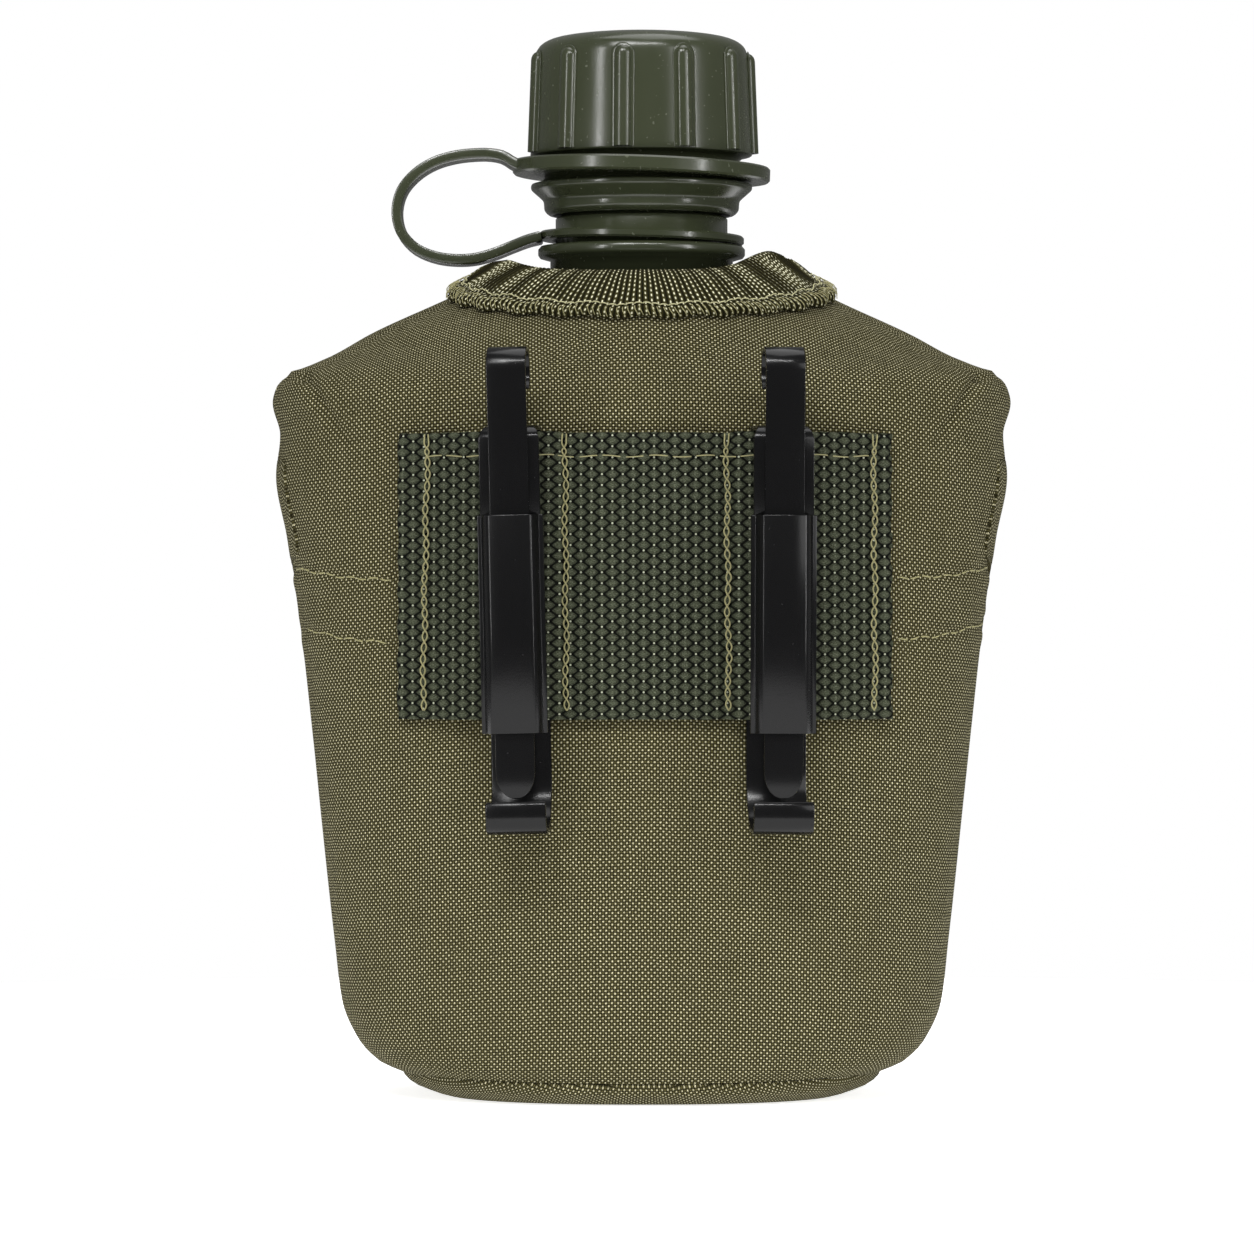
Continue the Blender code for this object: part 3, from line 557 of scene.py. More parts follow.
def web_cloth(name):
    """Thick woven webbing: its bumps are modelled, and this adds painted shade in the gaps between them,
    painted highlights on the fibres of their crowns, and the pale crossings.
    """
    web = Finish(name, (0.05, 0.06, 0.03), 0.6)
    web.shader.inputs["Specular IOR Level"].default_value = 0.08
    uv = web.coordinates("UV")
    x, y, _ = web.parts(uv)
    column = x / WEAVE_COLUMN
    crown = knot = web.math("ADD", 0.0, 0.0)
    for side in (-1, 0, 1):
        number = column.floor() + side
        row = y / WEAVE_ROW + number * 0.5
        aside, up = abs(column - number - 0.5), abs(row - row.floor() - 0.5) * 2.0
        wide, high = (aside / BUMP_WIDE) ** WEAVE_POWER, (up / BUMP_HIGH) ** WEAVE_POWER
        crown = crown.at_least(1.0 - wide - high)
        knot = knot.at_least(1.0 - (aside / 0.11) ** 2.0 - ((1.0 - up) / 0.20) ** 2.0)
    hairs = web.noise(uv, 4200.0, 3.0, 0.7, stretch=(0.6, 1.6, 1.0))
    speck = web.noise(uv, 3300.0, 2.0, 0.6)
    streak = web.noise(uv, 900.0, 2.0)
    # The near-black colour is painted shade in the gaps between the bumps.
    colour = web.mixed((crown ** 0.5).clamped(), (0.0006, 0.0010, 0.0002), (0.036, 0.042, 0.023))
    # The lit mask paints a highlight on the fibres of each bump's crown.
    lit = ((hairs - 0.46) * 5.0).clamped() * (crown ** 0.6)
    colour = web.mixed(lit * 0.8, colour, (0.185, 0.200, 0.140))
    colour = web.mixed((knot * 1.6).clamped() * (0.45 + streak), colour, (0.46, 0.48, 0.36))
    web.feed("Base Color", colour)
    web.feed("Roughness", 0.70 - crown * 0.18)
    web.relief(hairs * 0.7 + speck * 0.3, 0.00028)
    return web.material


def sewing_thread(name, colour=(0.27, 0.25, 0.11)):
    thread = Finish(name, colour, 0.6, Sheen_Weight=0.1)
    spot = thread.coordinates("Object")
    twist = thread.noise(spot, 3800.0, 2.0)
    thread.feed("Base Color", thread.mixed(twist, shaded(colour, 0.55), shaded(colour, 1.35)))
    thread.relief(twist, 0.0001)
    return thread.material


def moulded_plastic(name):
    """Glossy olive plastic with fine moulding marks and faint scuffs."""
    plastic = Finish(name, (0.038, 0.045, 0.024), 0.26)
    plastic.shader.inputs["Specular IOR Level"].default_value = 0.5
    spot = plastic.coordinates("Object")
    cloud = plastic.noise(spot, 55.0, 3.0)
    flow = plastic.noise(spot, 260.0, 3.0, stretch=(1.0, 1.0, 0.12))
    grain = plastic.noise(spot, 2300.0, 2.0)
    speck = ((plastic.noise(spot, 1500.0, 0.0) - 0.80) * 30.0).clamped()
    colour = plastic.mixed(cloud, (0.026, 0.031, 0.015), (0.037, 0.043, 0.023))
    colour = plastic.mixed(speck * 0.5, colour, (0.10, 0.11, 0.07))
    plastic.feed("Base Color", colour)
    plastic.feed("Roughness", 0.12 + flow * 0.20 + speck * 0.25)
    plastic.relief(flow * 0.75 + grain * 0.25, 0.00004, 0.7)
    return plastic.material


def blacked_steel(name):
    """Black-oxide steel: dark, faintly mottled, with rubbed specks."""
    steel = Finish(name, (0.005, 0.005, 0.0055), 0.2)
    steel.shader.inputs["Specular IOR Level"].default_value = 0.24
    spot = steel.coordinates("Object")
    cloud = steel.noise(spot, 90.0, 4.0, 0.6)
    fine = steel.noise(spot, 2600.0, 2.0)
    rubbed = ((steel.noise(spot, 1300.0, 1.0) - 0.77) * 20.0).clamped()
    steel.feed("Base Color", steel.mixed(rubbed * 0.6, (0.0035, 0.0035, 0.0037), (0.03, 0.03, 0.03)))
    steel.feed("Roughness", 0.13 + cloud * 0.12 + rubbed * 0.2)
    steel.relief(cloud * 0.6 + fine * 0.4, 0.00003, 0.6)
    return steel.material


def dark_brass(name):
    brass = Finish(name, (0.03, 0.028, 0.02), 0.38, Metallic=0.9)
    spot = brass.coordinates("Object")
    wear = brass.noise(spot, 420.0, 4.0, 0.65)
    colour = brass.mixed(((wear - 0.52) * 5.0).clamped(), (0.020, 0.019, 0.015), (0.16, 0.115, 0.05))
    brass.feed("Base Color", colour)
    brass.feed("Roughness", 0.30 + wear * 0.25)
    brass.relief(wear, 0.00003)
    return brass.material


def pile_cloth(name):
    """Soft lining pile, matted into small tufts."""
    pile = Finish(name, (0.13, 0.125, 0.085), 0.95, Sheen_Weight=0.35, Sheen_Roughness=0.6)
    spot = pile.coordinates("Object")
    tufts = pile.noise(spot, 620.0, 4.0, 0.7)
    matted = pile.noise(spot, 90.0, 3.0)
    colour = pile.mixed((tufts - 0.25) * 1.6, (0.030, 0.028, 0.016), (0.21, 0.20, 0.13))
    pile.feed("Base Color", pile.mixed(matted * 0.6, colour, (0.085, 0.080, 0.050)))
    pile.relief(tufts * 0.8 + matted * 0.2, 0.0012)
    return pile.material


def hooked_tape(name, colour):
    tape = Finish(name, colour, 0.7)
    spot = tape.coordinates("Object")
    hooks = tape.node("ShaderNodeTexVoronoi", {}, {"Vector": spot, "Scale": 1500.0})
    fuzz = tape.noise(spot, 1900.0, 3.0)
    tape.feed("Base Color", tape.mixed(hooks, shaded(colour, 1.6), shaded(colour, 0.35)))
    tape.relief(hooks * 0.7 + fuzz * 0.3, 0.0005)
    return tape.material


def gasket_rubber(name):
    rubber = Finish(name, (0.012, 0.012, 0.012), 0.7)
    dust = rubber.noise(rubber.coordinates("Object"), 700.0, 3.0)
    rubber.feed("Base Color", rubber.mixed(dust, (0.009, 0.009, 0.009), (0.028, 0.028, 0.026)))
    rubber.relief(dust, 0.00005)
    return rubber.material


DUCK = duck_cloth("duck cloth")
TAPE = tape_cloth("collar tape")
WEB = web_cloth("belt webbing")
THREAD = sewing_thread("sewing thread")
PALE_THREAD = sewing_thread("pale sewing thread", (0.42, 0.40, 0.22))
PLASTIC = moulded_plastic("olive plastic")
STEEL = blacked_steel("black steel")
BRASS = dark_brass("darkened brass")
PILE = pile_cloth("lining pile")
HOOKS = hooked_tape("hook tape", (0.05, 0.052, 0.032))
LOOPS = hooked_tape("loop tape", (0.07, 0.070, 0.042))
RUBBER = gasket_rubber("gasket rubber")


def settle(piece, body, finish, slot, *nodes):
    """Gives the finished piece its look, its body and the CAD nodes that it stands for."""
    piece.data.materials.clear()
    piece.data.materials.append(finish)
    if body:
        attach(piece, body)
    if nodes:
        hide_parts(*nodes)
    return piece


# ---- camera, light and floor ----


def set_camera():
    camera = bpy.data.cameras.new("camera")
    camera.lens = 174.2
    camera.sensor_width = 36.0
    camera.clip_start = 0.05
    eye = bpy.data.objects.new("camera", camera)
    eye.location = (-0.003, -1.25, 0.0959)
    eye.rotation_euler = (math.radians(90), 0, 0)
    bpy.context.scene.collection.objects.link(eye)
    bpy.context.scene.camera = eye


def lay_floor():
    let_go()
    bpy.ops.mesh.primitive_circle_add(
        vertices=96, radius=0.42, fill_type="NGON", location=(0, 0, -0.0002)
    )
    floor = named("floor")
    bpy.ops.object.transform_apply(location=True, rotation=True, scale=True)
    glow = {"Emission_Color": (1, 1, 1, 1), "Emission_Strength": 0.78}
    paint = Finish("pale floor", (0.86, 0.86, 0.86), 0.9, **glow)
    paint.shader.inputs["Specular IOR Level"].default_value = 0.1
    tone = paint.noise(paint.coordinates("Object"), 3.0, 1.0)
    paint.feed("Base Color", paint.mixed(tone, (0.90, 0.90, 0.90), (0.93, 0.93, 0.93)))
    floor.data.materials.append(paint.material)


def light_the_room():
    """A white backdrop, and a dimmer room that lights the piece, so that the lamps shape it."""
    world = bpy.data.worlds.new("studio")
    world.use_nodes = True
    nodes, links = world.node_tree.nodes, world.node_tree.links
    sky = nodes["Background"]
    sky.inputs["Color"].default_value = (1, 1, 1, 1)
    path, split = nodes.new("ShaderNodeLightPath"), nodes.new("ShaderNodeMix")
    way, axes = nodes.new("ShaderNodeTexCoord"), nodes.new("ShaderNodeSeparateXYZ")
    room = nodes.new("ShaderNodeMapRange")
    links.new(way.outputs["Generated"], axes.inputs[0])
    links.new(axes.outputs["Z"], room.inputs["Value"])
    for key, value in (("From Min", -0.1), ("From Max", 0.6), ("To Min", 0.16), ("To Max", 0.28)):
        room.inputs[key].default_value = value
    links.new(path.outputs["Is Camera Ray"], split.inputs["Factor"])
    links.new(room.outputs["Result"], split.inputs["A"])
    split.inputs["B"].default_value = 1.0
    links.new(split.outputs["Result"], sky.inputs["Strength"])
    bpy.context.scene.world = world
    for name, where, size, power in (
        ("key light", (-0.45, -1.0, 1.15), (0.5, 0.5), 7.4),
        ("fill light", (0.9, -1.0, 0.6), (0.5, 0.5), 2.6),
        ("top light", (0.1, 0.1, 1.2), (0.8, 0.8), 5.0),
        ("left strip", (-0.75, -0.75, 0.35), (0.04, 0.7), 3.2),
        ("right strip", (0.85, -0.60, 0.35), (0.04, 0.7), 3.2),
        ("high strip", (0.0, -0.75, 0.85), (0.7, 0.03), 4.5),
    ):
        light = bpy.data.lights.new(name, "AREA")
        light.shape = "RECTANGLE"
        light.size, light.size_y = size
        light.energy = power
        lamp = bpy.data.objects.new(name, light)
        lamp.location = where
        aim = Vector((0, 0, 0.1)) - Vector(where)
        lamp.rotation_euler = aim.to_track_quat("-Z", "Y").to_euler()
        bpy.context.scene.collection.objects.link(lamp)
    bpy.context.scene.view_settings.view_transform = "Standard"


# ---- the sewn cover ----


def gentle_folds(x, z):
    """Slow waves of cloth that has been packed and worn."""
    wave = np.sin(x * 95 + 1.3 + 14 * z) * np.sin(z * 71 + 0.4 + 9 * x)
    wave += 0.6 * np.sin(x * 41 - z * 67 + 2.1)
    return 0.00016 * wave


def crease(x, z, line, width, depth):
    """A soft groove along a line of points in the plane of the back."""
    best = np.full(np.shape(x), 1.0)
    for (x0, z0), (x1, z1) in zip(line, line[1:]):
        dx, dz = x1 - x0, z1 - z0
        t = np.clip(((x - x0) * dx + (z - z0) * dz) / (dx * dx + dz * dz), 0, 1)
        best = np.minimum(best, np.hypot(x - x0 - t * dx, z - z0 - t * dz))
    return -depth * np.exp(-((best / width) ** 2))


SEAM_LINES = (
    ((-0.0710, 0.1078), (-0.0600, 0.1058), (-0.0500, 0.1054)),
    ((-0.0685, 0.0954), (-0.0600, 0.0935), (-0.0500, 0.0927)),
    ((0.0514, 0.1057), (0.0620, 0.1062), (0.0715, 0.1080)),
    ((0.0514, 0.0933), (0.0610, 0.0942), (0.0704, 0.0966)),
)


def back_relief(x, z):
    """How far the back's cloth stands off its plain form."""
    side = np.abs(x)
    off = gentle_folds(x, z)
    for line in SEAM_LINES:
        off = off + crease(x, z, line, 0.0011, 0.00045)
        off = off - crease(x, z, [(a, b + 0.0026) for a, b in line], 0.0016, 0.00022)
        off = off - crease(x, z, [(a, b - 0.0026) for a, b in line], 0.0016, 0.00022)
    tuck = ((0.0690, 0.1468), (0.0665, 0.1440), (0.0645, 0.1405), (0.0610, 0.1355), (0.0580, 0.1320))
    for sign in (-1, 1):
        line = [(sign * a, b) for a, b in tuck]
        fade = ease(z, 0.130, 0.140)
        off = off + crease(x, z, line, 0.0010, 0.0011) * fade
        beside = [(a + sign * 0.0028, b + 0.0006) for a, b in line]
        off = off - crease(x, z, beside, 0.0020, 0.0006) * fade
        off = off + crease(x, z, ((sign * 0.0725, 0.1466), (sign * 0.0680, 0.1466)), 0.0007, 0.0008)
    recess = ease(side, 0.0665, 0.0708) * ease(z, 0.1050, 0.1120) * (1 - ease(z, 0.1270, 0.1320))
    off = off - 0.0004 * recess
    off = off - 0.0010 * (1 - ease(z, 0.0038, 0.0072))
    return off


def sew_back():
    """The back panel, with more points where it turns at the sides and where it is creased."""
    turn = uneven(math.radians(178.5), math.radians(361.5), 300,
                  lambda a: 1.0 + 1.1 * bump_at(a, math.pi, 0.55) + 1.1 * bump_at(a, 2 * math.pi, 0.55))
    height = uneven(SEAM_LOW, COLLAR_TOP - 0.0006, 150,
                    lambda z: 1.0 + 1.2 * bump_at(z, 0.141, 0.010) + 0.9 * bump_at(z, 0.101, 0.009))
    angle, z = np.meshgrid(turn, height)
    z = z - 0.0022 * ease(z, 0.1600, 0.1686)
    plain = COVER.skin(angle, z)
    points = COVER.skin(angle, z, back_relief(plain[..., 0], z))
    across = run_lengths(points, 1, len(turn) // 2)
    up = run_lengths(points, 0, 0)
    piece = spread("cover_back", points, across, up)
    settle(piece, "bottle_and_cover", DUCK, "cover_fabric", "cover_back_panel")
    return piece


def front_top(angle):
    """The front's upper edge, which rises to the corners at the sides."""
    t = ease(np.abs(np.cos(angle)), 0.84, 0.95)
    return FRONT_TOP + CORNER_RISE * t


def sew_front():
    """The front panel, which laps over the back panel below the corners."""
    part = np.linspace(0.0, 1.0, 200)
    height = uneven(0.0, 1.0, 140, lambda t: 1.0 + 1.0 * bump_at(t, 1.0, 0.15))
    share, level = np.meshgrid(part, height)
    around = math.pi * share
    z = SEAM_LOW + (front_top(around) - SEAM_LOW) * level
    lap = ease(z, 0.1065, 0.1110) * (1 - ease(z, 0.1290, 0.1320))
    reach = np.radians(-1.2) + np.radians(-14.0) * lap
    angle = (math.pi / 2) + (around - math.pi / 2) * (1 - 2 * reach / math.pi)
    plain = COVER.skin(angle, z)
    off = gentle_folds(-plain[..., 0], z) * (1 - lap) - 0.0010 * (1 - ease(z, 0.0038, 0.0072))
    off = off + 0.0002 * lap
    off = off - 0.0006 * ease(level, 0.985, 1.0)
    points = COVER.skin(angle, z, off)
    across = run_lengths(points, 1, 100)
    up = run_lengths(points, 0, 0)
    piece = spread("cover_front", points, across, up)
    settle(piece, "bottle_and_cover", DUCK, "cover_fabric", "cover_front_panel")
    return piece


def sew_base():
    """The oval bottom, turned up at its rim to meet the sides."""
    turn = np.linspace(0, 2 * math.pi, 193)
    rings = []
    for share in (0.02, 0.2, 0.4, 0.6, 0.8, 0.93):
        flat = COVER.skin(turn, np.zeros_like(turn))
        rings.append(flat * np.array([share, share, 0.0]))
    for z, off in (
        (0.0, -0.0002), (0.0006, 0.0), (0.0014, 0.0), (0.0022, 0.0),
        (0.0030, -0.0002), (0.0036, -0.0006), (0.0040, -0.0012),
    ):
        rings.append(COVER.skin(turn, np.full_like(turn, z), off))
    points = np.array(rings)
    grow = 1 + points[..., 2] / np.hypot(points[..., 0], points[..., 1])
    piece = spread("cover_base", points, points[..., 0] * grow, points[..., 1] * grow)
    settle(piece, "bottle_and_cover", DUCK, "cover_fabric", "cover_bottom_panel")
    return piece


def web_standoff(x):
    """How far the webbing stands off the cover: little at the sewing, more over each keeper."""
    best = np.zeros_like(x)
    for first, second, side in (
        (STITCH_COLUMNS[0], STITCH_COLUMNS[1], "left"),
        (STITCH_COLUMNS[2], STITCH_COLUMNS[3], "right"),
    ):
        middle = KEEPER_X[side]
        reach = np.where(x < middle, middle - TUNNEL_HALF - first, second - middle - TUNNEL_HALF)
        t = 1.0 - np.maximum(0.0, np.abs(x - middle) - TUNNEL_HALF) / reach
        inside = (x > first) & (x < second)
        best = np.where(inside, ease(t, 0.0, 1.0), best)
    return SEWN_STANDOFF + (TUNNEL_STANDOFF - SEWN_STANDOFF) * best


def weave_webbing():
    """Webbing with every bump of its weave modelled, a sewn column at each side of each keeper."""
    fine = 6
    columns, rows = 47 * fine + 1, 26 * fine + 1
    x = np.linspace(WEB_LEFT, WEB_RIGHT, columns)
    z = np.linspace(WEB_LOW, WEB_HIGH, rows)
    x, z = np.meshgrid(x, z)
    across, up = x - WEB_LEFT, z - WEB_LOW
    # Each bump is a wide rounded rhombus, and the neighbouring columns lie half a row apart.
    column = across / WEAVE_COLUMN
    best = np.zeros_like(x)
    for side in (-1, 0, 1):
        number = np.floor(column) + side
        a = np.abs(column - number - 0.5)
        row = up / WEAVE_ROW + number * 0.5
        b = 2 * np.abs(row - np.floor(row) - 0.5)
        wide, high = (a / BUMP_WIDE) ** WEAVE_POWER, (b / BUMP_HIGH) ** WEAVE_POWER
        best = np.maximum(best, 1 - wide - high)
        knot = np.clip(1 - (a / 0.12) ** 2 - ((1 - b) / 0.22) ** 2, 0, 1)
        best = np.maximum(best, 0.10 * knot)
    height = 0.00046 * best**0.7 - 0.00026
    near = np.min([np.abs(x - c) for c in STITCH_COLUMNS], axis=0)
    pulled = np.exp(-((near / 0.0011) ** 2))
    edge = np.minimum(np.minimum(across, WEB_RIGHT - x), np.minimum(up, WEB_HIGH - z))
    worn = 0.0004 * (1 - ease(edge, 0, 0.0008))
    off = web_standoff(x) + height * (1 - 0.6 * pulled) - 0.00035 * pulled - worn
    sway = 0.00018 * np.sin(z * 900) * (1 - ease(np.minimum(across, WEB_RIGHT - x), 0, 0.002))
    points = COVER.face(x + sway, z, -1, off)
    piece = spread("belt_webbing", points, across, up, thick=0.0019)
    settle(piece, "bottle_and_cover", WEB, "webbing", "webbing_panel")
    return piece


def neck_line(angle):
    """The collar's uneven top: level at the middle, humped to either side of it."""
    right, left = bump_at(angle, math.radians(333), 0.42), bump_at(angle, math.radians(203), 0.40)
    return COLLAR_TOP - 0.0016 + 0.0050 * right + 0.0027 * left


def collar_edge(angle):
    """The lower edge of the collar tape."""
    back = np.maximum(0.0, -np.sin(angle))
    return 0.1652 - 0.0075 * back + 0.00025 * np.sin(angle * 31)


def make_collar():
    """The ribbed tape folded over the neck edge of the back, with its sewing below."""
    count = 620
    angle = np.linspace(math.radians(178.0), math.radians(362.0), count)
    low, top = collar_edge(angle), neck_line(angle)
    rings = []
    section = (
        (0.0006, 0.0), (0.0017, 0.01), (0.0022, 0.05), (0.00235, 0.12), (0.0020, 0.19), (0.00235, 0.27),
        (0.0026, 0.40), (0.0027, 0.55), (0.0026, 0.70), (0.0022, 0.84), (0.0014, 0.95), (0.0, 1.0),
        (-0.0014, 0.96), (-0.0024, 0.85), (-0.0028, 0.6), (-0.0028, 0.3),
    )
    ribs = np.abs(np.sin(angle * COLLAR_RADIUS / COLLAR_RIB * math.pi))
    for off, share in section:
        z = low + (top - low) * share
        proud = 0.00028 * (ribs - 0.5) * ease(share, 0.22, 0.3)
        rings.append(COVER.skin(angle, z, off + proud))
    points = np.array(rings)
    across = run_lengths(points, 1, count // 2)
    across = np.broadcast_to(across[7], across.shape)
    up = run_lengths(points, 0, 0)
    piece = spread("collar_tape", points, across, up, thick=0.0009)
    settle(piece, "bottle_and_cover", TAPE, "cover_fabric", "collar_binding")
    return piece


# ---- belt keepers ----


def keeper_frame(side):
    """X across the keeper, Y into the cover, Z up it, with the origin on the webbing's face."""
    x = KEEPER_X[side]
    low = COVER.face(x, 0.080, -1)
    high = COVER.face(x, 0.132, -1)
    level = COVER.face(x, 0.106, -1)
    spot = COVER.face(x, 0.106, -1, TUNNEL_STANDOFF)
    out = COVER.outward(*level)
    yaw = KEEPER_YAW * math.atan2(out[0], -out[1])
    pitch = math.atan2(high[1] - low[1], high[2] - low[2])
    turn = Matrix.Rotation(yaw, 4, "Z") @ Matrix.Rotation(-pitch, 4, "X")
    return Matrix.Translation(Vector(spot)) @ turn @ Matrix.Rotation(KEEPER_TILT[side], 4, "Y")


def bend(centre, radius, start, end, steps):
    turns = np.linspace(math.radians(start), math.radians(end), steps)
    return [(centre[0] + radius * math.cos(t), centre[1] + radius * math.sin(t)) for t in turns]


def bent_strip(name, path, half, thick, widths=None, rim=0.00022):
    """Sheet steel bent along a path of distance out and height; widths are shares of the half width."""
    let_go()
    widths = widths or [1.0] * len(path)
    (out, up), (out_next, up_next) = path[0], path[1]
    bpy.ops.mesh.primitive_plane_add(size=1)
    piece = named(name)
    corners = ((-1, out, up, 0), (1, out, up, 0), (-1, out_next, up_next, 1), (1, out_next, up_next, 1))
    for vertex, (sign, a, b, k) in zip(piece.data.vertices, corners):
        vertex.co = (sign * half * widths[k], -a, b)
    vertices_where(piece, lambda co: abs(co.y + out_next) < 1e-7 and abs(co.z - up_next) < 1e-7)
    bpy.ops.mesh.select_mode(type="EDGE")
    for i in range(2, len(path)):
        (a, b), (c, d) = path[i - 1], path[i]
        bpy.ops.mesh.extrude_region_move(TRANSFORM_OT_translate={"value": (0, a - c, d - b)})
        share = widths[i] / widths[i - 1]
        if abs(share - 1) > 1e-6:
            bpy.ops.transform.resize(value=(share, 1, 1), center_override=(0, -c, d))
    bpy.ops.object.mode_set(mode="OBJECT")
    return sheet_steel(piece, thick, rim, 50)


def bend_keeper_body(side):
    """The body's strip: up from the hook behind the webbing, over its top and down the front."""
    back = -WEB_THICK - 0.0009 - PLATE / 2
    face = BELT_GAP + PLATE / 2
    top = 0.0294
    lip = face + 0.0026
    path = [(lip - 0.0005, -0.0447), (lip - 0.0002, -0.0454), (lip, -0.0464), (lip, -0.0476)]
    path += bend((lip - 0.0030, -0.0476), 0.0030, -10, -90, 7)
    path += [(lip - 0.0065, -0.0504), (0.0006, -0.0482)]
    path += [(-0.0016, -0.0458), (back, -0.0416), (back, -0.0376), (back, 0.0), (back, top - 0.0014)]
    widths = [0.97, 1.0] + [1.0] * (len(path) - 2)
    path += bend((back + 0.0014, top - 0.0014), 0.0014, 150, 90, 6)
    path += bend((face - 0.0026, top - 0.0026), 0.0026, 90, 5, 9)
    path += [(face, top - 0.0054), (face, 0.0105)]
    widths += [0.92] * 6 + [0.80, 0.81, 0.83, 0.86, 0.90, 0.94, 0.97, 0.99, 1.0] + [1.0, 1.0]
    return bent_strip(f"keeper_{side}_body", path, 0.0060, PLATE, widths)


def press_guide():
    """The guide on the body's front: a raised channel with a flange along each edge."""
    let_go()
    half = ((0.00375, 0.0030), (0.0042, 0.0028), (0.0050, 0.0016), (0.0054, 0.0006), (0.00655, 0.0006))
    section = [(-x, out) for x, out in half[::-1]] + list(half)
    bpy.ops.mesh.primitive_plane_add(size=1)
    guide = named("guide")
    low, high = -0.0311, 0.0121
    base = -(BELT_GAP + 0.0003)
    for vertex, (k, up) in zip(guide.data.vertices, ((0, low), (1, low), (0, high), (1, high))):
        vertex.co = (section[k][0], base - section[k][1], up)
    vertices_where(guide, lambda co: abs(co.x - section[1][0]) < 1e-7)
    bpy.ops.mesh.select_mode(type="EDGE")
    for (a, b), (c, d) in zip(section[1:], section[2:]):
        bpy.ops.mesh.extrude_region_move(TRANSFORM_OT_translate={"value": (c - a, b - d, 0)})
    bpy.ops.object.mode_set(mode="OBJECT")
    return sheet_steel(guide, 0.0008, 0.0002, 28)


def bend_keeper_slide(side):
    """The bar that slides in the guide: a rounded tongue below and a finger curl at the top."""
    face = BELT_GAP + PLATE / 2
    middle = face + 0.0004 + PLATE / 2 + 0.00045
    rounding = ((0.05, 0.14), (0.2, 0.27), (0.7, 0.50), (1.4, 0.68), (2.4, 0.84), (3.7, 0.953), (5.2, 1.0))
    path = [(middle, -0.0440 + far * MM) for far, _ in rounding]
    path += [(middle, -0.030), (middle, 0.010), (middle + 0.0001, 0.022), (middle + 0.0006, 0.0320)]
    path += bend((middle - 0.0032, 0.0408), 0.0042, 0, 235, 22)
    widths = [wide for _, wide in rounding] + [1.0] * (len(path) - len(rounding))
    return bent_strip(f"keeper_{side}_slide", path, 0.0039, 0.0009, widths)


def forge_keeper(side):
    matrix = keeper_frame(side)
    body = joined(f"keeper_{side}_body", [bend_keeper_body(side), press_guide()])
    place(body, matrix)
    settle(body, f"keeper_{side}", STEEL, "black_steel", f"keeper_body_{side}")
    bar = place(bend_keeper_slide(side), matrix)
    settle(bar, f"keeper_bar_{side}", STEEL, "black_steel", f"keeper_slide_{side}")


# ---- cap, strap and bottle ----


def mould_cap():
    """The screw cap's shell: turned outside and in, with its wall leaning in towards the top."""
    outside = [
        (0.01815, 0.1805), (0.0190, 0.1805), (0.0199, 0.1814), (0.0201, 0.1819), (0.0201, 0.1835),
        (0.0205, 0.1839), (0.0226, 0.1857), (0.0228, 0.1860), (0.0228, 0.1868), (0.0225, 0.1872),
        (0.0196, 0.1873), (0.0196, 0.1926), (0.0224, 0.1927), (0.0228, 0.1930),
        (CAP_LOW_RADIUS, RIB_LOW), (0.0225, 0.2000), (0.0222, 0.2070),
        (CAP_HIGH_RADIUS, 0.2125), (0.0218, 0.2138), (0.0214, 0.2149), (0.0207, 0.2157), (0.0196, 0.2164),
        (0.0180, 0.2170), (0.0150, 0.2175), (0.0110, 0.2179), (0.0060, 0.2181), (0.0006, 0.2181),
    ]
    inside = [(0.01815, 0.1805), (0.01795, 0.1812), (0.01795, 0.2139), (0.0006, 0.2139)]
    shell = turned("shell", outside, 120, close_low=False)
    cap = joined("cap_shell", [shell, turned("bore", inside, 120, close_low=False)])
    weld(cap)
    return finish_with(cap, "SUBSURF", levels=1, render_levels=1)


def rib_bar(name, half, proud, high):
    """A half-round bar along Z with a rounded top, squashed to stand this far out of the wall."""
    profile = [(half, 0.0), (half, high - half)]
    for turn in (18, 36, 54, 72, 85):
        t = math.radians(turn)
        profile.append((half * math.cos(t), high - half + half * math.sin(t)))
    bar = turned(name, profile, 28)
    return place(bar, Matrix.Diagonal((proud / half, 1, 1, 1)))


def cap_ready():
    """The cap with its eleven grip ribs, each on a slightly wider foot."""
    tall = RIB_HIGH - RIB_LOW
    bar, foot = rib_bar("bar", 0.0018, 0.0014, tall), rib_bar("foot", 0.0024, 0.00042, tall + 0.0005)
    rib = joined("rib", [bar, foot])
    lean = math.atan2(CAP_LOW_RADIUS - CAP_HIGH_RADIUS, tall)
    at_wall = Matrix.Translation((CAP_LOW_RADIUS - 0.0001, 0, RIB_LOW)) @ Matrix.Rotation(-lean, 4, "Y")
    turns = [Matrix.Rotation(RIB_PHASE + 2 * math.pi * k / RIBS, 4, "Z") for k in range(RIBS)]
    ribs = repeated("ribs", rib, [turn @ at_wall for turn in turns])
    bpy.data.objects.remove(rib)
    cap = joined("cap_shell", [mould_cap(), ribs])
    smooth(cap, 50)
    return settle(cap, "cap", PLASTIC, "olive_plastic", "screw_cap")


def copy_of(node, name, degrees=35):
    """A CAD node's shape as a new piece, its loose triangles merged and shaded smooth."""
    piece = frame["nodes"][node].copy()
    piece.data = piece.data.copy()
    for key in list(piece.keys()):
        del piece[key]
    piece.parent = None
    piece.matrix_world = Matrix.Identity(4)
    piece.name = name
    bpy.context.scene.collection.objects.link(piece)
    pick(piece)
    bpy.ops.object.mode_set(mode="EDIT")
    bpy.ops.mesh.select_all(action="SELECT")
    bpy.ops.mesh.remove_doubles(threshold=0.000005)
    bpy.ops.object.mode_set(mode="OBJECT")
    return smooth(piece, degrees)


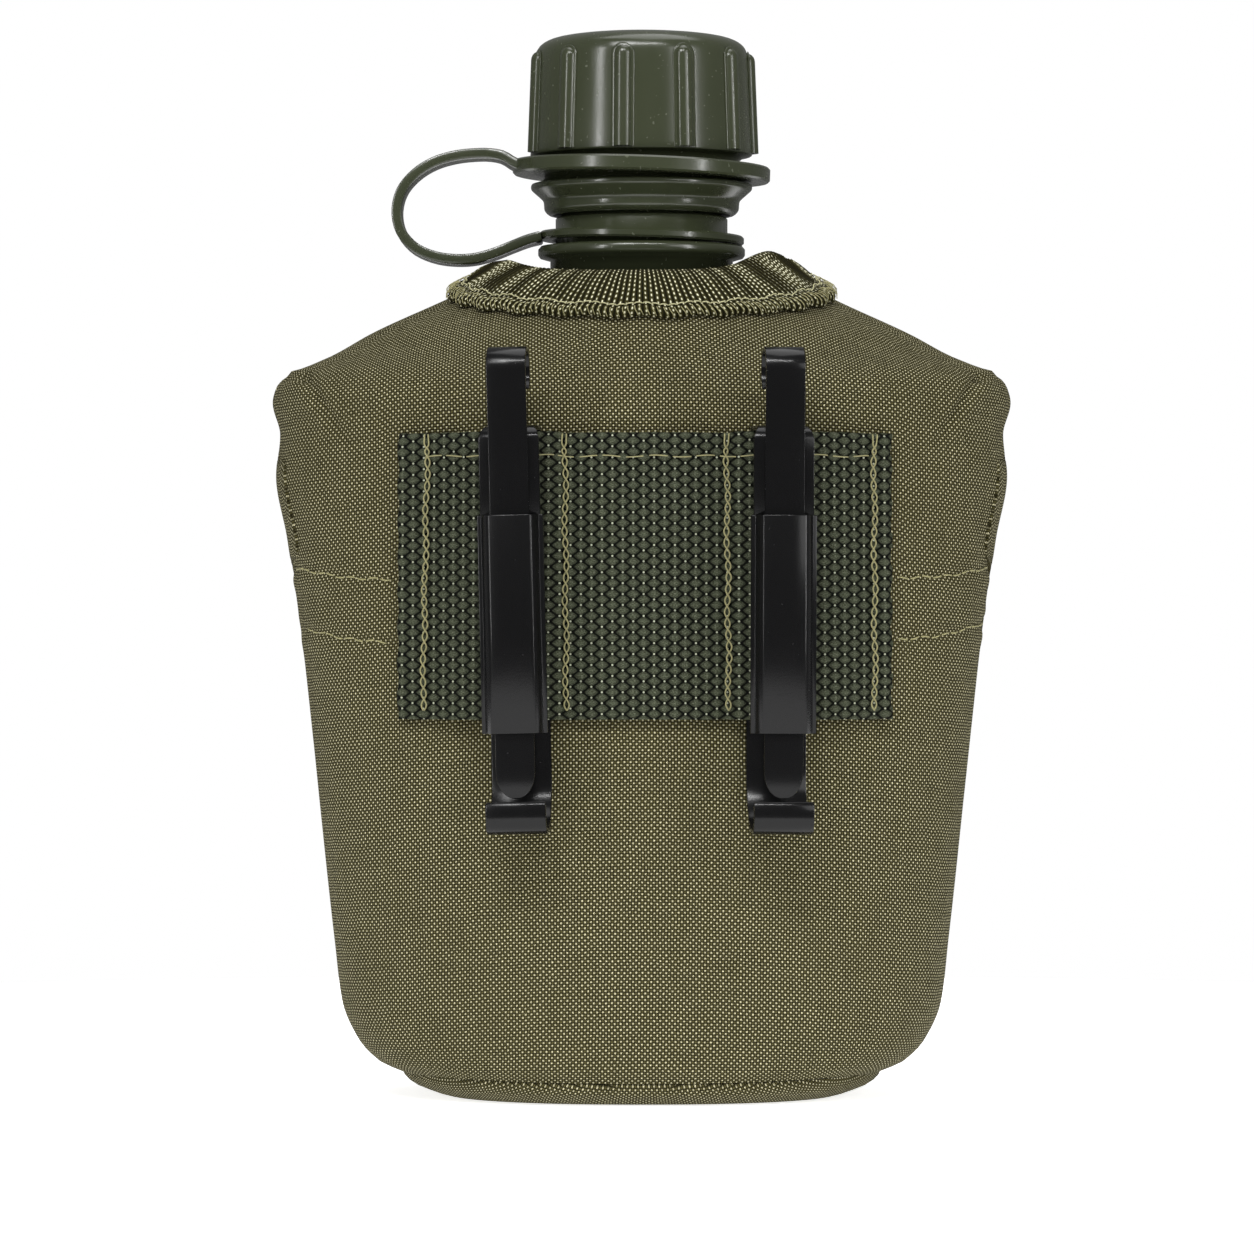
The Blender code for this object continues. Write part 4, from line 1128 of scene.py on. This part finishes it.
def flat_ring(name, inner, outer, height, thick, tilt):
    """A ring with softened edges, tilted by this many degrees."""
    half = thick / 2
    soft = 0.0004
    profile = [
        (inner, -half + soft), (inner, half - soft), (inner + soft, half),
        (outer - soft, half), (outer, half - soft), (outer, -half + soft),
        (outer - soft, -half), (inner + soft, -half), (inner, -half + soft),
    ]
    ring = turned(name, profile, 96, close_low=False, close_high=False)
    weld(ring)
    return place(ring, Matrix.Translation((0, 0, height)) @ Matrix.Rotation(math.radians(tilt), 4, "Y"))


def mould_strap():
    """The retaining strap: a ring at the cap, one at the neck, and the band that loops between."""
    high = flat_ring("cap_ring", 0.0200, 0.0265, 0.1897, 0.0030, 1.9)
    low = flat_ring("neck_ring", 0.0181, 0.0211, 0.1759, 0.0018, 1.5)
    path = np.array([
        (-0.0235, 0.1902), (-0.0262, 0.1912), (-0.0285, 0.1926), (-0.0310, 0.1931), (-0.0345, 0.1931),
        (-0.0385, 0.1926), (-0.0425, 0.1914), (-0.0464, 0.1890), (-0.0493, 0.1855), (-0.0503, 0.1812),
        (-0.0494, 0.1771), (-0.0468, 0.1740), (-0.0428, 0.1721), (-0.0382, 0.1714), (-0.0343, 0.1716),
        (-0.0305, 0.1726), (-0.0262, 0.1743), (-0.0233, 0.1754), (-0.0205, 0.1761),
    ])
    along = run_lengths(path[None], 1, 0)[0]
    steps = np.linspace(0, along[-1], 60)
    line = [(-x, z) for x, z in zip(*(smooth_line(along, path[:, k], steps) for k in (0, 1)))]
    # The band is wider at both roots.
    widths = [1.35 - 0.35 * min(1, i / 7) for i in range(30)]
    widths += [1.0 + 0.25 * max(0, (i - 23) / 7) for i in range(30)]
    band = bent_strip("band", line, 0.0055, 0.0021, widths, rim=0.0005)
    place(band, Matrix.Rotation(math.radians(-90), 4, "Z"))
    strap = joined("retaining_strap", [band, high, low])
    smooth(strap, 40)
    settle(strap, None, PLASTIC, "olive_plastic", "strap_cap_ring", "strap_band", "strap_neck_ring")
    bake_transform(strap)
    return strap


def smooth_line(at, values, where):
    """A curve with no corners through the values, by the cubic between each two of them."""
    slope = np.gradient(values, at)
    i = np.clip(np.searchsorted(at, where, side="right") - 1, 0, len(at) - 2)
    span = at[i + 1] - at[i]
    t = (where - at[i]) / span
    return (
        (2 * t**3 - 3 * t**2 + 1) * values[i]
        + (t**3 - 2 * t**2 + t) * span * slope[i]
        + (3 * t**2 - 2 * t**3) * values[i + 1]
        + (t**3 - t**2) * span * slope[i + 1]
    )


def make_bottle():
    """The body, the shoulder and the neck as one moulding."""
    bottle = joined("bottle", [copy_of(name, name + "_copy") for name in BOTTLE_NODES])
    smooth(bottle, 35)
    return settle(bottle, "bottle_and_cover", PLASTIC, "olive_plastic", *BOTTLE_NODES)


# ---- threads ----


def stitch_lines(points, normals, length, gap, lift):
    """Single stitches along a line on the cloth: each rises out of it and goes back in."""
    along = run_lengths(points[None], 1, 0)[0]
    lines = []
    for start in np.arange(gap / 2, along[-1] - length, length + gap):
        at = start + length * np.array([0.0, 0.12, 0.35, 0.65, 0.88, 1.0])
        spot = np.stack([np.interp(at, along, points[:, k]) for k in range(3)], 1)
        out = np.stack([np.interp(at, along, normals[:, k]) for k in range(3)], 1)
        lines.append(spot + out * (np.array([-0.9, 0.4, 1.0, 1.0, 0.4, -0.9]) * lift)[:, None])
    return lines


def on_back(x, z, off=0.0):
    points = COVER.face(x, z, -1, back_relief(x, z) + off)
    return points, COVER.outward(*points.T)


def sew_side_lines():
    lines = []
    for line in SEAM_LINES:
        ends = np.array(line)
        x = np.linspace(ends[0, 0], ends[-1, 0], 120)
        z = np.interp(x, ends[:, 0], ends[:, 1]) + 0.00022 * np.sin(x * 1250)
        points, normals = on_back(x, z)
        lines += stitch_lines(points, normals, 0.0024, 0.0005, 0.00024)
    piece = thread_run("side_seam_thread", lines, HEM_THREAD)
    settle(piece, "bottle_and_cover", THREAD, "cover_fabric")


def sew_webbing():
    """Chain stitching down the four columns, and a long-stitched line near the top edge."""
    lines = []
    loop = 0.0023
    for k, column in enumerate(STITCH_COLUMNS):
        z = np.linspace(WEB_HIGH - 0.0003, WEB_LOW + 0.0018, 330)
        fall = WEB_HIGH - z
        lean = (-0.0007, 0.0003, 0.0004, 0.0)[k] * (fall / 0.055)
        wobble = 0.00018 * np.sin(z * 410 + k)
        settled = ease(fall, 0.002, 0.004)
        for sign in (-1, 1):
            swing = sign * (0.00047 * np.sin(fall * math.pi / loop) * settled + 0.0004 * (1 - settled))
            x = column + lean + wobble + swing
            lift = 0.00022 + 0.00016 * sign * np.cos(fall * math.pi / loop)
            lines.append(COVER.face(x, z, -1, web_standoff(x) + lift))
    piece = thread_run("webbing_chain_thread", lines, 0.00016)
    settle(piece, "bottle_and_cover", THREAD, "webbing")
    x = np.linspace(STITCH_COLUMNS[0] - 0.001, STITCH_COLUMNS[3] + 0.001, 500)
    z = WEB_HIGH - 0.0047 + 0.00018 * np.sin(x * 600)
    points = COVER.face(x, z, -1, web_standoff(x) + 0.00012)
    normals = COVER.outward(*points.T)
    lines = stitch_lines(points, normals, 0.0036, 0.0011, 0.00020)
    piece = thread_run("webbing_top_thread", lines, 0.00012)
    settle(piece, "bottle_and_cover", THREAD, "webbing")


def sew_collar():
    """A chain line along the tape's lower edge, and the loops that bind the raw edge under it."""
    turn = np.linspace(math.radians(181), math.radians(359), 900)
    low = collar_edge(turn)
    points = COVER.skin(turn, low + 0.0018, 0.00255)
    normals = COVER.outward(*points.T)
    lines = stitch_lines(points, normals, 0.0015, 0.00022, 0.00020)
    piece = thread_run("collar_line_thread", lines, 0.00012)
    settle(piece, "bottle_and_cover", PALE_THREAD, "cover_fabric")
    along = run_lengths(points[None], 1, 0)[0]
    lines = []
    for k, start in enumerate(np.arange(0.0004, along[-1], COLLAR_RIB)):
        share = np.array([0.0, 0.3, 0.6, 0.85, 1.0])
        sweep = 0.0007 * share**3 + 0.00012 * math.sin(k * 2.4)
        at = np.interp(start + sweep, along, turn)
        level = collar_edge(at) + 0.0012 - 0.0013 * share
        lines.append(COVER.skin(at, level, np.array([0.0026, 0.0028, 0.0027, 0.0023, 0.0014])))
    piece = thread_run("collar_edge_thread", lines, 0.00009, 1)
    settle(piece, "bottle_and_cover", THREAD, "cover_fabric")


# ---- the front: flaps, snaps and tablet pocket ----


def ridge_height(x):
    """The height of the shoulder's ridge at this distance from the middle."""
    z = np.linspace(0.1475, 0.1699, 2000)
    return np.interp(-np.abs(x), -COVER.at(z)[:, 0], z)


def fold_height(x, depth=0.0026):
    """The height just in front of the ridge where the cover is this deep."""
    widths = np.linspace(0.015, 0.070, 300)
    z = np.linspace(0.1425, 0.1699, 3000)
    deep = COVER.depth(widths[None], z[:, None]) > depth
    last = len(z) - 1 - np.argmax(deep[::-1], 0)
    return np.interp(np.abs(x), widths, z[last])


def flap_surface(u, part, sign, extra=0.0):
    """A point on the flap: u from edge to edge, part from its root to its tip."""
    top_x = 0.0492 + 0.0152 * u
    end_x = 0.0350 + 0.0150 * u
    low = 0.1260 - 0.0130 * np.sqrt(np.maximum(0.0, 1 - (u * 0.97) ** 2))
    down = np.maximum(part, 0.0)
    x = top_x + (end_x - top_x) * down
    z = fold_height(x) + (low - ridge_height(top_x)) * down
    z = np.where(part < 0, fold_height(x, 0.0006), z)
    y = COVER.depth(x, z)
    out = COVER.outward(sign * x, y, z)
    rise = np.where(part < 0, -0.0018, (FLAP_RISE + FABRIC + 0.0010) * ease(down, 0.0, 0.5) - 0.0010)
    return np.stack([sign * x, y, z], -1) + out * (rise + extra)[..., None], out


def sew_flap(side, sign):
    """A front flap, bent at its root where it joins the cover, with its hem sewn down."""
    part = np.concatenate([[-0.02, 0.0], np.linspace(0.006, 1.0, 74)])
    u = np.linspace(-1, 1, 58)
    u, part = np.meshgrid(u, part)
    edge = np.minimum((1 - np.abs(u)) * 0.0152, np.maximum(0.0, 1 - part) * 0.045)
    hem = 0.00035 * (1 - ease(edge, 0.0042, 0.0050)) - 0.0003 * bump_at(edge, 0.0038, 0.0006)
    hem = hem - 0.0004 * (1 - ease(edge, 0.0, 0.0009))
    wave = 0.00022 * np.sin(u * 5 + part * 7) * ease(part, 0.1, 0.4)
    points, _ = flap_surface(u, part, sign, np.where(part < 0.02, 0.0, hem + wave))
    across = run_lengths(points, 1, 29)
    up = -run_lengths(points, 0, 0)
    # The grid runs from the tip up, and from left to right as seen from the front.
    points, across, up = (grid[::-1, ::-sign] for grid in (points, across, up))
    piece = spread(f"front_flap_{side}", points, across, up, thick=0.0011)
    settle(piece, None, DUCK, "cover_fabric", f"flap_{side}")
    joint = next(j for j in frame["joints"] if j["name"] == f"flap_{side}_open")
    hinge = joint["pos_m"]
    behind, ahead = (hinge[0], hinge[1] - 0.0022, hinge[2]), (hinge[0], hinge[1] + 0.0030, hinge[2])
    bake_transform(piece)
    # Hem stitches a few millimetres in from the edge.
    run = np.concatenate([np.linspace(0.10, 0.90, 60), np.full(60, 0.905), np.linspace(0.90, 0.10, 60)])
    way = np.concatenate([np.full(60, -0.74), np.linspace(-0.74, 0.74, 60), np.full(60, 0.74)])
    points, out = flap_surface(way, run, sign, np.full(180, 0.0001))
    piece = thread_run(f"flap_{side}_thread", stitch_lines(points, out, *HEM_STITCH), HEM_THREAD)
    settle(piece, f"front_flap_{side}", THREAD, "cover_fabric")


def snap_matrix(sign):
    spot = COVER.face(sign * SNAP_X, SNAP_Z, 1)
    out = Vector(COVER.outward(*spot))
    return Matrix.Translation(Vector(spot)) @ out.to_track_quat("Z", "Y").to_matrix().to_4x4()


def turn_snap(name, profile, sign, body, node):
    piece = turned(name, profile, 48)
    angle = math.radians(35)
    finish_with(piece, "BEVEL", width=0.00012, segments=2, limit_method="ANGLE", angle_limit=angle)
    smooth(piece, 35)
    place(piece, snap_matrix(sign))
    settle(piece, body, BRASS, "dark_brass", node)


def set_snaps(side, sign):
    """The snap's button and cup on the flap, and its ball on the front panel."""
    top = FLAP_RISE + FABRIC
    low = 0.0029
    flap = f"front_flap_{side}"
    button = [
        (0.0017, low + 0.0002), (0.0017, top + 0.0004), (0.0070, top + 0.0004), (0.0075, top + 0.0006),
        (0.0076, top + 0.0009), (0.0073, top + 0.0013), (0.0066, top + 0.0016), (0.0058, top + 0.00113),
        (0.0052, top + 0.0015), (0.0046, top + 0.0019), (0.0034, top + 0.0022), (0.0018, top + 0.00235),
        (0.0004, top + 0.0024),
    ]
    turn_snap(f"snap_{side}_button", button, sign, flap, f"snap_cap_{side}")
    ball = [
        (0.0048, 0.0004), (0.0050, 0.0005), (0.0050, 0.0008), (0.0046, 0.0010), (0.0038, 0.0011),
        (0.0035, 0.0014), (0.0036, 0.0018), (0.0032, 0.0023), (0.0022, 0.0026), (0.0006, 0.0027),
    ]
    turn_snap(f"snap_{side}_ball", ball, sign, "bottle_and_cover", f"snap_stud_{side}")
    cup = [
        (0.0018, low - 0.0003), (0.0043, low - 0.0005), (0.0048, low - 0.0009), (0.0052, low - 0.0015),
        (0.0059, low - 0.0015), (0.0062, low - 0.0012), (0.0064, low - 0.0005), (0.0063, low - 0.0001),
    ]
    turn_snap(f"snap_{side}_cup", cup, sign, flap, f"snap_socket_{side}")


def over_front(x, out, z, follow=1.0):
    """Points this far out from the front: follow 1 keeps to its curve, and 0 stays flat."""
    level = COVER.depth(np.zeros_like(x), z)
    y = COVER.depth(x, z)
    return np.stack([x, level + (y - level) * follow + out, z], -1)


def pocket_outline(u):
    """The pocket's section across, from the cover out over the front and back to the cover."""
    corner = 0.0026
    half, deep = POCKET_HALF, POCKET_DEPTH
    side_run = deep - 0.0006 - corner
    front_run = 2 * (half - corner)
    arc = corner * math.pi / 2
    first, second = side_run + arc, side_run + arc + front_run
    s = u * (2 * side_run + 2 * arc + front_run)
    x, out = np.zeros_like(s), np.zeros_like(s)
    part = s < side_run
    x[part], out[part] = -half, 0.0006 + s[part]
    part = (s >= side_run) & (s < first)
    t = (s[part] - side_run) / corner
    x[part], out[part] = -half + corner * (1 - np.cos(t)), deep - corner + corner * np.sin(t)
    part = (s >= first) & (s < second)
    x[part], out[part] = -half + corner + s[part] - side_run - arc, deep
    part = (s >= second) & (s < second + arc)
    t = (s[part] - second) / corner
    x[part], out[part] = half - corner + corner * np.sin(t), deep - corner + corner * np.cos(t)
    part = s >= second + arc
    x[part], out[part] = half, deep - corner - (s[part] - second - arc)
    return x, out


def sew_pocket():
    """The small pocket: one sheet that goes round its sides and closes to the cover below."""
    u = np.linspace(0, 1, 150)
    x, out = pocket_outline(u)
    rows = []
    shares = [np.linspace(0, 0.06, 10), np.linspace(0.065, 0.975, 70), np.linspace(0.98, 1.0, 6)]
    for share in np.concatenate(shares):
        z = POCKET_LOW + (POCKET_TOP - POCKET_LOW) * share
        pinch = math.sqrt(max(0.0, 1 - (1 - min(1.0, share / 0.06)) ** 2))
        bulge = 0.0005 * math.sin(math.pi * min(1.0, share * 1.3)) * np.sin(math.pi * u) ** 2
        hem = 0.0003 * (1 - bump_at(share, 0.93, 0.01)) * (share > 0.9)
        wide = x * (0.965 + 0.035 * pinch)
        far = 0.0006 + (out - 0.0006) * (0.25 + 0.75 * pinch) - 0.0004
        far = far + (bulge + hem) * (out > POCKET_DEPTH * 0.8)
        rows.append(over_front(wide, far, np.full_like(u, z)))
    first = rows[0].copy()
    cover = over_front(x, np.full_like(u, 0.0006), np.full_like(u, POCKET_LOW))
    first[:, 1] = np.minimum(first[:, 1], cover[:, 1])
    points = np.array([first] + rows)[:, ::-1]
    across = run_lengths(points, 1, 75)
    up = run_lengths(points, 0, 0)
    piece = spread("tablet_pocket", points, -across, up, thick=0.0009)
    settle(piece, "bottle_and_cover", DUCK, "cover_fabric", "pocket_body")


def sew_pocket_lid():
    """The pocket's flap: from the cover out over the pocket's top and down its front."""
    top = POCKET_TOP + 0.0005
    far = POCKET_DEPTH + 0.0025
    profile = np.array([
        (0.0004, top - 0.0006, 0.0), (0.0012, top + 0.0003, 0.05), (0.0040, top + 0.0009, 0.35),
        (0.0080, top + 0.0010, 0.8), (0.0110, top + 0.0008, 1.0), (far - 0.0004, top + 0.0001, 1.0),
        (far + 0.0006, top - 0.0014, 1.0), (far + 0.0010, top - 0.0036, 1.0), (far + 0.0011, 0.0700, 1.0),
        (far + 0.0011, 0.0640, 1.0), (far + 0.0011, 0.0580, 1.0), (far + 0.0010, 0.0520, 1.0),
    ])
    at = run_lengths(profile[None, :, :2], 1, 0)[0]
    fine = np.linspace(0, at[-1], 90)
    line = np.stack([smooth_line(at, profile[:, k], fine) for k in range(3)], 1)
    w = np.linspace(-1, 1, 100)
    rows = []
    for (a, z, follow), run in zip(line, fine):
        left = at[-1] - run
        hem = 0.0003 * (1 - ease(left, 0.0042, 0.005)) - 0.00025 * bump_at(left, 0.0040, 0.0006)
        edge = (1 - np.abs(w)) * LID_HALF
        hem = hem + 0.00025 * (1 - ease(edge, 0.0035, 0.0042)) - 0.0003 * (1 - ease(edge, 0, 0.0008))
        curl = 0.0010 * (np.abs(w) ** 3) * ease(left, 0.03, 0.0)
        corner_cut = 0.0035 * ease(np.abs(w), 0.82, 1.0) ** 2 * ease(left, 0.008, 0.0)
        out = a + hem * (run > 0.014) - curl * 0.3
        rows.append(over_front(w * LID_HALF, out, np.full_like(w, z) + corner_cut, follow))
    points = np.array(rows)[::-1, ::-1]
    across = -run_lengths(points, 1, 50)
    up = run_lengths(points, 0, 0)
    piece = spread("pocket_lid", points, across, up, thick=0.0011)
    settle(piece, "pocket_lid", DUCK, "cover_fabric", "pocket_flap")
    ahead = np.array([0.0, 1.0, 0.0])
    down = np.linspace(0.0750, 0.0565, 60)
    lines = []
    for x, out, z in (
        (np.full(60, -0.0205), far + 0.0013, down),
        (np.full(60, 0.0205), far + 0.0013, down),
        (np.linspace(-0.0205, 0.0205, 80), far + 0.0012, np.full(80, 0.0562)),
    ):
        points = over_front(x, np.full(len(x), out), z)
        lines += stitch_lines(points, np.tile(ahead, (len(x), 1)), *HEM_STITCH)
    piece = thread_run("pocket_lid_thread", lines, HEM_THREAD)
    settle(piece, "pocket_lid", THREAD, "cover_fabric")


def sew_pocket_tapes():
    """Loop tape on the pocket and hook tape on the lid, facing each other."""
    for name, near, body, look, node in (
        ("pocket_loop_strip", POCKET_DEPTH + 0.0003, "bottle_and_cover", LOOPS, "pocket_loop_tape"),
        ("pocket_hook_strip", POCKET_DEPTH + 0.0014, "pocket_lid", HOOKS, "pocket_hook_tape"),
    ):
        x, z = np.meshgrid(np.linspace(0.0185, -0.0185, 40), np.linspace(0.0560, 0.0720, 18))
        fuzz = 0.00008 * np.sin(x * 5200) * np.sin(z * 5200)
        points = over_front(x, near + 0.0008 + fuzz, z)
        piece = spread(name, points, -x, z, thick=0.0007)
        settle(piece, body, look, "pile", node)


def lay_lining():
    """The pile cup between bottle and cover, its face roughened into tufts."""
    piece = copy_of("pile_lining", "lining", 60)
    finish_with(piece, "SUBSURF", levels=2, render_levels=2, subdivision_type="SIMPLE")
    points = np.array([v.co for v in piece.data.vertices])
    normals = np.array([v.normal for v in piece.data.vertices])
    waves = ((2100.0, 1300.0, 900.0), (-1200.0, 1900.0, 1500.0), (700.0, -2300.0, 1700.0))
    first, second, third = (np.sin(points @ np.array(wave)) for wave in waves)
    rough = first * second + third
    points += normals * (0.00012 * rough)[:, None]
    piece.data.vertices.foreach_set("co", points.reshape(-1).astype(np.float32))
    piece.data.update()
    smooth(piece, 80)
    settle(piece, "bottle_and_cover", PILE, "pile", "pile_lining")


def finish_bare_nodes():
    """The posts of the snaps, which no piece stands for, only get their finish."""
    for node in frame["nodes"].values():
        if node.hide_render:
            continue
        if not node.material_slots:
            node.data.materials.append(BRASS)
        for slot in node.material_slots:
            slot.material = BRASS


def main():
    set_camera()
    lay_floor()
    light_the_room()
    sew_back()
    sew_front()
    sew_base()
    weave_webbing()
    make_collar()
    forge_keeper("left")
    forge_keeper("right")
    cap_ready()
    mould_strap()
    sew_side_lines()
    sew_webbing()
    sew_collar()
    for side, sign in (("left", -1), ("right", 1)):
        sew_flap(side, sign)
        set_snaps(side, sign)
    sew_pocket()
    sew_pocket_lid()
    sew_pocket_tapes()
    lay_lining()
    make_bottle()
    settle(copy_of("cap_gasket", "gasket"), "cap", RUBBER, "gasket_rubber", "cap_gasket")


main()
finish_bare_nodes()
